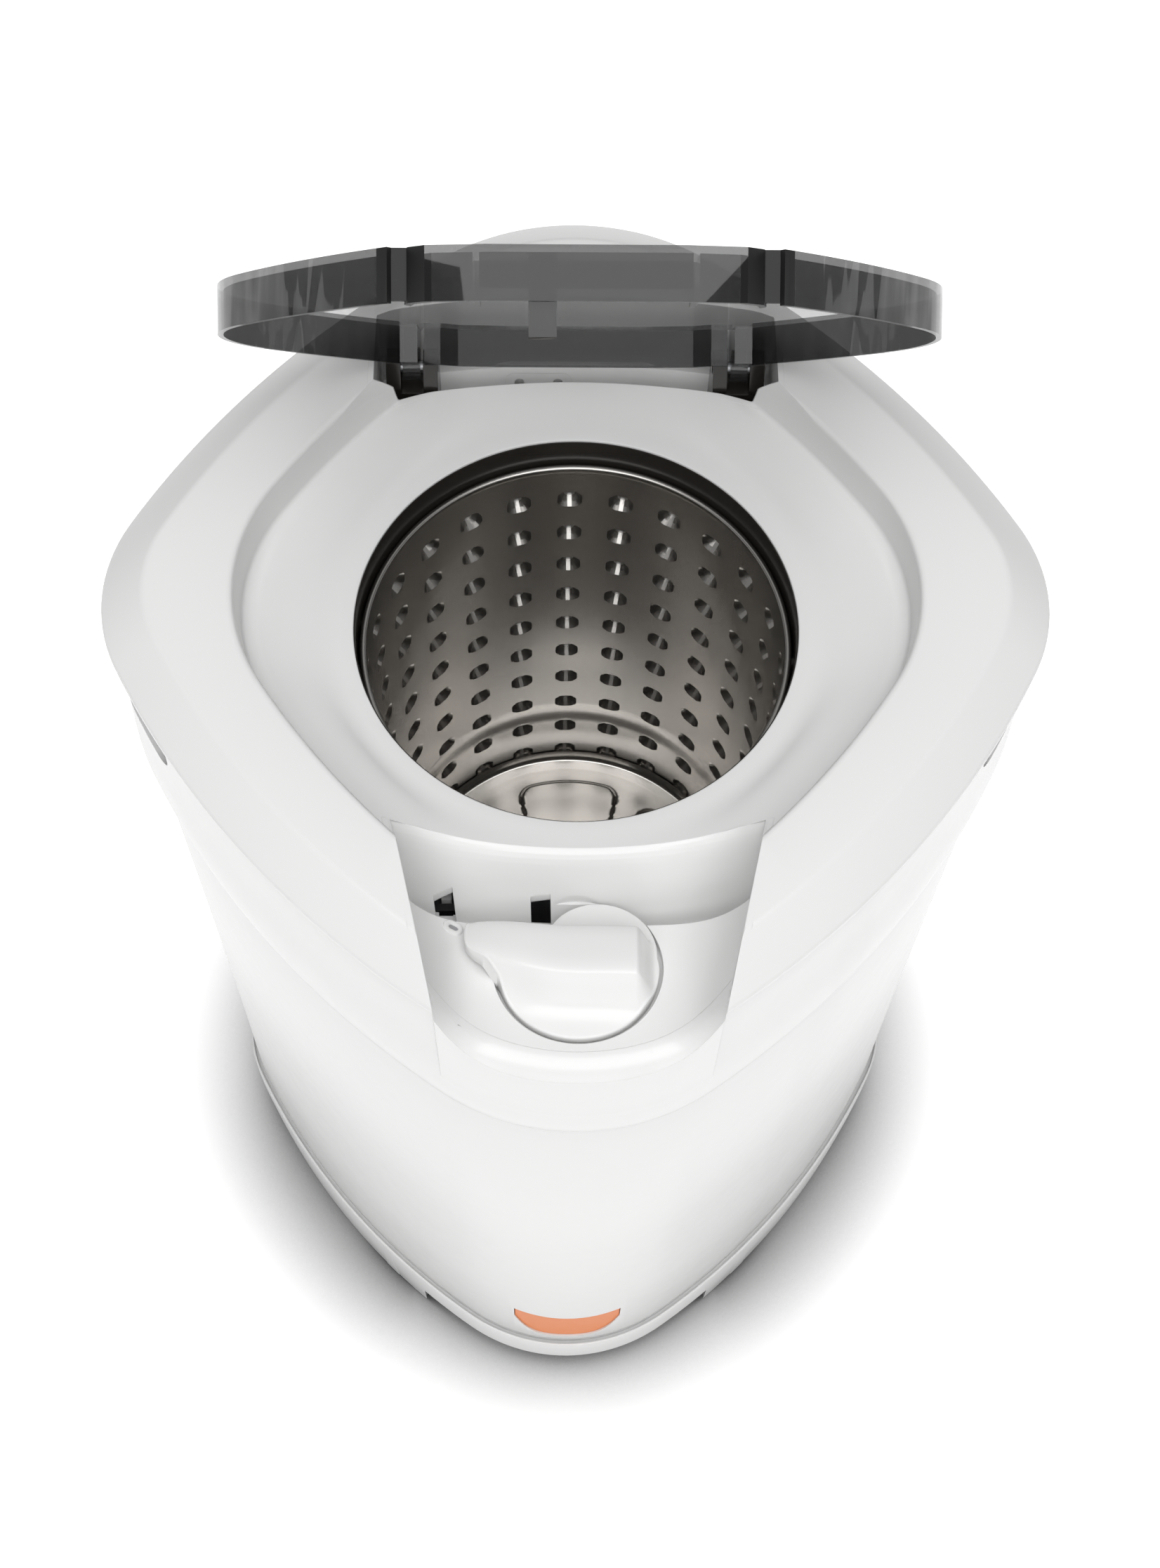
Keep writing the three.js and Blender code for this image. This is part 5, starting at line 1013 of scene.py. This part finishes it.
def lid_arm(side):
    """A flat arm from the plate down round the hinge pin."""
    t = np.linspace(-0.15 * np.pi, -1.0 * np.pi, 14)
    eye = np.c_[HINGE_Y + EYE_R * np.cos(t), HINGE_Z + EYE_R * np.sin(t)]
    front_y, under = HINGE_Y - 30, LID_TOP - LID_WALL
    outline = np.concatenate([[(front_y, under), (LID_REAR - 1, under), (LID_REAR - 1, LID_LOW + 4)], eye,
                              [(HINGE_Y - 12, LID_LOW), (front_y, LID_LOW)]])
    return moved(laid(prism("arm", outline, -ARM_W / 2, ARM_W / 2), "Z", "X"), side * HINGE_X)


def hung(name, width, depth, height, x, y):
    """A bar of this size that hangs from the plate at x, y."""
    return box(name, (width, depth, height), (x, y, LID_TOP - height / 2))


lid = prism("smoked_lid", lid_plan(0), LID_LOW, LID_TOP)
combine(lid, [prism("lid_hollow", lid_plan(LID_WALL), LID_LOW - 1, LID_TOP - LID_WALL)])
inside_y, corner = LID_NOSE + LID_WALL, lid_plan(LID_WALL / 2)[4]
ribs = [hung("rib", LID_WALL, RIB_L, RIB_H, x, inside_y + 12.5) for x in (-RIB_X, RIB_X)]
webs = [hung("web", 8, LID_WALL, RIB_H, side * (corner[0] - 3), corner[1] + 3) for side in (-1, 1)]
bridge = hung("bridge", 2 * RIB_X, LID_WALL, BRIDGE_H, 0, inside_y + 24)
hook = hung("hook", HOOK_W, 9, HOOK_L, HOOK_X, inside_y + 5)
barb = box("barb", (HOOK_W, 12, 3), (HOOK_X, inside_y + 6.5, LID_TOP - 32.5))
combine(lid, [*ribs, *webs, bridge, lid_arm(-1), lid_arm(1), hook, barb], "UNION")
combine(lid, [moved(laid(rod("pin_bore", PIN_R, -300, 300, 32), "Y"), 0, HINGE_Y, HINGE_Z)])
hinge_line = Matrix.Translation((0, HINGE_Y * MM, HINGE_Z * MM))
edge = lid.modifiers.new("edge", "BEVEL")
edge.width, edge.segments, edge.limit_method, edge.angle_limit = 0.0009, 2, "ANGLE", math.radians(40)
settle(lid)

# %% How thick the smoked plastic looks, face by face
LEVEL, UPRIGHT = 0.97, 0.12
PLATE, RIB_FOOT, WALL_FACE, TOP_EDGE, OTHER_EDGE, NOSE_CORNER = 0.0, 0.25, 0.78, 1.0, 0.15, 1.3


def face_values(piece, key):
    """A vector property of every face, as an array of rows."""
    values = np.empty(3 * len(piece.data.polygons), np.float32)
    piece.data.polygons.foreach_get(key, values)
    return values.reshape(-1, 3)


level, centre = np.abs(face_values(lid, "normal")[:, 2]), face_values(lid, "center")
high = centre[:, 2] > (LID_TOP - 6) * MM
thickness = np.where(level > LEVEL, np.where(high, PLATE, RIB_FOOT),
                     np.where(level < UPRIGHT, WALL_FACE, np.where(high, TOP_EDGE, OTHER_EDGE)))
across, ahead = np.abs(centre[:, 0]) / MM, centre[:, 1] / MM
at_corner = (across > NOSE_HALF - 11) & (across < NOSE_HALF + 10) & (ahead < LID_NOSE + 36) & (level < 0.5)
layer = lid.data.attributes.new("thickness", "FLOAT", "FACE")
layer.data.foreach_set("value", np.where(at_corner, NOSE_CORNER, thickness).astype(np.float32))
lid.data.transform(hinge_line @ Matrix.Rotation(-LID_OPEN, 4, "X") @ hinge_line.inverted())
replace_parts(smooth(lid, 28), "lid")
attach(lid, "lid")
print("lid", len(lid.data.polygons), "faces")

# %% [markdown]
# ## Finishes
# Shader maths is easier to read as plain expressions, so a small class wraps a socket and adds the Math
# nodes when values are added, multiplied or compared. One method makes any other node.

# %% A wrapper for sockets and nodes


class Value:
    """A number that varies over a surface; arithmetic on it adds Math nodes."""

    def __init__(self, finish, socket):
        self.finish, self.socket = finish, socket

    def math(self, operation, *others):
        return self.finish.add("ShaderNodeMath", {"operation": operation}, dict(enumerate((self, *others))))

    def __add__(self, other): return self.math("ADD", other)
    def __mul__(self, other): return self.math("MULTIPLY", other)
    def __sub__(self, other): return self.math("SUBTRACT", other)
    def __rsub__(self, other): return (self * -1.0) + other
    def clipped(self): return self.math("MAXIMUM", 0.0).math("MINIMUM", 1.0)


class Finish:
    """One material, built around a Principled shader."""

    def __init__(self, name, **constants):
        self.material = bpy.data.materials.new(name)
        self.material.use_nodes = True
        self.tree = self.material.node_tree
        self.tree.nodes.clear()
        self.output = self.tree.nodes.new("ShaderNodeOutputMaterial")
        self.shader = self.tree.nodes.new("ShaderNodeBsdfPrincipled")
        self.tree.links.new(self.shader.outputs["BSDF"], self.output.inputs["Surface"])
        for socket, value in constants.items():
            self.shader.inputs[socket.replace("_", " ")].default_value = value

    def add(self, kind, settings=None, inputs=None, out=0):
        """A node of this kind: its settings first, then the values or links of its sockets."""
        node = self.tree.nodes.new(kind)
        for key, value in (settings or {}).items():
            setattr(node, key, value)
        for key, value in (inputs or {}).items():
            self.connect(value, node.inputs[key])
        return Value(self, node.outputs[out])

    def connect(self, value, socket):
        """Links a value to a socket, or writes a plain number or colour into it."""
        if isinstance(value, Value):
            self.tree.links.new(value.socket, socket)
        else:
            socket.default_value = value

    def place(self, scale=(1, 1, 1)):
        """Object coordinates, scaled."""
        point = self.add("ShaderNodeTexCoord", out="Object")
        return self.add("ShaderNodeMapping", {}, {"Vector": point, "Scale": scale})

    def noise(self, point, scale, detail=2.0, roughness=0.5):
        """A smooth random value between 0 and 1, about 1 / scale metres from lump to lump."""
        inputs = {"Vector": point, "Scale": scale, "Detail": detail, "Roughness": roughness}
        return self.add("ShaderNodeTexNoise", {}, inputs)

    def colour_mix(self, share, first, second):
        """A colour between two, by a share."""
        node = self.tree.nodes.new("ShaderNodeMix")
        node.data_type = "RGBA"
        self.connect(share, node.inputs[0])
        self.connect(first, node.inputs[6])
        self.connect(second, node.inputs[7])
        return Value(self, node.outputs[2])

    def bump(self, height, strength, distance):
        """A normal tipped by the slope of a height."""
        return self.add("ShaderNodeBump", {}, {"Height": height, "Strength": strength, "Distance": distance})

    def set(self, **links):
        """Connects values to the shader's sockets by name."""
        for socket, value in links.items():
            self.connect(value, self.shader.inputs[socket.replace("_", " ")])
        return self


finishes = {}
print("finish helpers ready")

# %% [markdown]
# ## White and black plastics
# Glossy moulded plastic is nearly even in colour, so its life comes from a faint waviness of the skin, tiny
# changes of gloss and a slow drift between two close tones. A rounded-edge normal softens what is left of the
# sharp edges.

# %% Moulded plastics


def moulded(slot, colour, shade, roughness, waviness=0.04, edge=0.0006):
    """Colour drifts between two close tones, gloss drifts with a finer noise, and a fine bump breaks reflections."""
    f = Finish(slot, Specular_IOR_Level=0.5, IOR=1.46)
    point = f.place()
    drift = f.noise(point, 6.0, 3.0)
    fine = f.noise(point, 90.0, 2.0)
    grain = f.noise(point, 900.0, 2.0)
    tone = f.colour_mix(drift, (*shade, 1), (*colour, 1))
    rough = (fine - 0.5) * 0.05 + (drift - 0.5) * 0.04 + roughness
    rounded = f.add("ShaderNodeBevel", {"samples": 4}, {"Radius": edge})
    skin = f.bump(drift * 0.7 + grain * 0.3, waviness, 0.0006)
    f.connect(rounded, skin.socket.node.inputs["Normal"])
    f.set(Base_Color=tone, Roughness=rough.clipped(), Normal=skin)
    finishes[slot] = f


moulded("white_plastic", (0.83, 0.83, 0.825), (0.80, 0.80, 0.797), 0.24)
moulded("black_plastic", (0.026, 0.023, 0.020), (0.019, 0.017, 0.015), 0.2)
moulded("dark_plastic", (0.035, 0.035, 0.038), (0.025, 0.025, 0.028), 0.45, 0.12)
moulded("grey_plastic", (0.34, 0.34, 0.35), (0.29, 0.29, 0.30), 0.42, 0.12)
moulded("orange", (0.86, 0.22, 0.012), (0.80, 0.19, 0.010), 0.34)
print(len(finishes), "plastics")

# %% [markdown]
# ## Steel, paint and rubber
# Rolled stainless is brushed round the drum, so its gloss changes in fine level lines, with soft broad
# streaks from the rolling. The holes of the dishes are not cut: a mask read from the mesh paints them dark and
# dull, a painted shade for the dark space behind them.

# %% Metals


def brushed(slot, colour, shade, roughness, scale):
    """Lines come from a noise stretched hard along the brushing; broad drift comes from a slow noise."""
    f = Finish(slot, Metallic=1.0)
    point = f.place(scale)
    lines = f.noise(point, 40.0, 4.0, 0.6)
    drift = f.noise(f.place(), 9.0, 2.0)
    tone = f.colour_mix(lines * 0.5 + drift * 0.5, (*shade, 1), (*colour, 1))
    rough = (lines - 0.5) * 0.05 + (drift - 0.5) * 0.04 + roughness
    skin = f.bump(lines, 0.002, 0.0001)
    f.set(Base_Color=tone, Roughness=rough.clipped(), Normal=skin)
    finishes[slot] = f
    return f, tone, rough


stainless, sheet_tone, sheet_rough = brushed("stainless", (0.54, 0.523, 0.50), (0.50, 0.484, 0.462), 0.25, (1, 1, 30))
# Painted shade: the dish holes marked on the mesh are painted near black, dull and not metallic.
holes = stainless.add("ShaderNodeAttribute", {"attribute_name": "hole"}, out="Fac")
stainless.set(Base_Color=stainless.colour_mix(holes, sheet_tone, (0.004, 0.004, 0.004, 1)),
              Roughness=(sheet_rough + holes * 0.5).clipped(), Metallic=1.0 - holes)
brushed("steel", (0.48, 0.49, 0.50), (0.36, 0.37, 0.38), 0.36, (8, 8, 8))
print("metals ready")

# %% Enamel and rubber
paint = Finish("motor_paint", Coat_Weight=0.3, Coat_Roughness=0.2)
peel = paint.noise(paint.place(), 260.0, 2.0)
cloud = paint.noise(paint.place(), 12.0, 3.0)
paint.set(Base_Color=paint.colour_mix(cloud, (0.045, 0.05, 0.06, 1), (0.075, 0.08, 0.09, 1)),
          Roughness=(peel - 0.5) * 0.12 + 0.42, Normal=paint.bump(peel, 0.25, 0.0004))
finishes["motor_paint"] = paint
rubber = Finish("rubber", Specular_IOR_Level=0.3)
pores = rubber.noise(rubber.place(), 700.0, 3.0, 0.6)
dust = rubber.noise(rubber.place(), 18.0, 3.0)
rubber.set(Base_Color=rubber.colour_mix(dust, (0.012, 0.012, 0.013, 1), (0.03, 0.03, 0.031, 1)),
           Roughness=(pores - 0.5) * 0.2 + 0.72, Normal=rubber.bump(pores, 0.4, 0.0005))
finishes["rubber"] = rubber
print("finishes:", ", ".join(sorted(finishes)))

# %% [markdown]
# ## Smoked clear plastic
# A wall of the lid has two faces, so each face is partly see-through, with a dark tint of its own and a clean
# gloss. The plate lets nearly half of the light through its pair of faces and an upright wall about a
# twentieth; the dark, dull corners of the nose let nothing through.

# %% Smoke
smoke = Finish("smoke", Specular_IOR_Level=0.5, IOR=1.49)
haze = smoke.noise(smoke.place(), 14.0, 3.0)
fine = smoke.noise(smoke.place(), 60.0, 2.0)
thick = smoke.add("ShaderNodeAttribute", {"attribute_name": "thickness"}, out="Fac")
smoke.set(Base_Color=smoke.colour_mix(thick, (0.035, 0.035, 0.035, 1), (0.006, 0.006, 0.006, 1)),
          Roughness=(fine - 0.5) * 0.03 + 0.05 + ((thick - 1.05) * 4.0).clipped() * 0.55,
          Alpha=(thick * 0.6 + (haze - 0.5) * 0.03 + 0.32).clipped(), Normal=smoke.bump(haze, 0.02, 0.0004))
finishes["smoke"] = smoke
print("smoke ready")

# %% [markdown]
# ## Dressing every piece
# Each new piece and each solid that stays takes the finish of its own slot.

# %% Give out the finishes
wearers = {slot_name: [] for slot_name in finishes}
for part in frame["record"]["subparts"]:
    wearers[part["material_slot"]].append(nodes[part["node"]])
wearers["white_plastic"] += [top, panel, band, body, skirt, knob, mark]
# The zero mark's grey bar is painted shade.
wearers["grey_plastic"] += [bar]
wearers["stainless"] += [drum, drum_floor, roll]
wearers["orange"] += [badge]
wearers["black_plastic"] += [guard]
wearers["smoke"] += [lid]
for slot_name, pieces in wearers.items():
    for piece in pieces:
        piece.data.materials.clear()
        piece.data.materials.append(finishes[slot_name].material)
print("dressed", sum(map(len, wearers.values())), "solids and new pieces")

# %% [markdown]
# ## The studio
# A pale floor under a soft overcast light: a broad lamp overhead does most of the work, a weak one in front
# fills the walls, and a weaker one behind keeps the rear slopes grey. The floor shows white to the camera, and
# a painted shadow darkens its colour and its glow close to the machine, where little of the sky reaches it.

# %% Floor
FLOOR_LIFT, PAINTED_SHADOW_REACH, BOUNCE = 0.80, 0.13, 0.46
floor_mesh = bpy.data.meshes.new("studio_floor")
floor_mesh.from_pydata([(-6, -6, 0), (6, -6, 0), (6, 6, 0), (-6, 6, 0)], [], [(0, 1, 2, 3)])
floor = bpy.data.objects.new("studio_floor", floor_mesh)
bpy.context.scene.collection.objects.link(floor)


def seen_directly(finish):
    """One where the ray comes from the camera, a mirror or a clear surface, and less for scattered light."""
    path = finish.tree.nodes.new("ShaderNodeLightPath")
    camera_ray, glossy, clear, scattered = (
        Value(finish, path.outputs[f"Is {kind} Ray"]) for kind in ("Camera", "Glossy", "Transmission", "Diffuse"))
    return (camera_ray + glossy + clear + scattered * BOUNCE).clipped()


ground = Finish("studio_floor", Roughness=0.9, Emission_Strength=1.0, Specular_IOR_Level=0.0)
# Painted shadow: an occlusion test darkens the floor's colour and its glow near the machine.
near = ground.add("ShaderNodeAmbientOcclusion", {"samples": 24}, {"Distance": PAINTED_SHADOW_REACH}, out="AO")
clear_of_painted_shadow = ((near - 0.48) * 1.95).clipped()
lift = seen_directly(ground) * clear_of_painted_shadow * FLOOR_LIFT
ground.set(Base_Color=ground.colour_mix(clear_of_painted_shadow, (0.10, 0.10, 0.10, 1), (0.82, 0.82, 0.82, 1)),
           Emission_Color=ground.add("ShaderNodeCombineColor", {}, {0: lift, 1: lift, 2: lift}))
floor.data.materials.append(ground.material)

# %% World and lamps
AMBIENT = 0.28
world = bpy.data.worlds.new("studio")
bpy.context.scene.world = world
world.use_nodes = True
add_node, link = world.node_tree.nodes.new, world.node_tree.links.new
world.node_tree.nodes.clear()
path, seen = add_node("ShaderNodeLightPath"), add_node("ShaderNodeMath")
seen.operation = "MAXIMUM"
link(path.outputs["Is Camera Ray"], seen.inputs[0])
link(path.outputs["Is Transmission Ray"], seen.inputs[1])
choose, out = add_node("ShaderNodeMixShader"), add_node("ShaderNodeOutputWorld")
link(seen.outputs[0], choose.inputs[0])
for socket, grey in ((1, AMBIENT), (2, 1)):
    sky = add_node("ShaderNodeBackground")
    sky.inputs[0].default_value = (grey, grey, grey, 1)
    link(sky.outputs[0], choose.inputs[socket])
link(choose.outputs[0], out.inputs[0])


def add_lamp(name, place, target, size, power):
    """A square lamp of this size in metres, pointed at a target."""
    lamp = bpy.data.lights.new(name, "AREA")
    lamp.shape, lamp.size, lamp.energy = "SQUARE", size, power
    holder = bpy.data.objects.new(name, lamp)
    aim = (Vector(target) - Vector(place)).to_track_quat("-Z", "Y")
    holder.matrix_world = Matrix.Translation(place) @ aim.to_matrix().to_4x4()
    bpy.context.scene.collection.objects.link(holder)
    return holder


add_lamp("front_panel", (0.0, -2.7, 1.1), (0, 0, 0.4), 1.6, 9)
add_lamp("overhead", (0.0, -1.0, 2.9), (0, 0, 0.4), 2.3, 53)
add_lamp("rear_panel", (0.0, 0.9, 2.9), (0, 0, 0.5), 1.8, 5)
bpy.context.scene.view_settings.view_transform = "Standard"
print("studio ready")

# %% [markdown]
# ## Finish

# %% End


print("scene built")
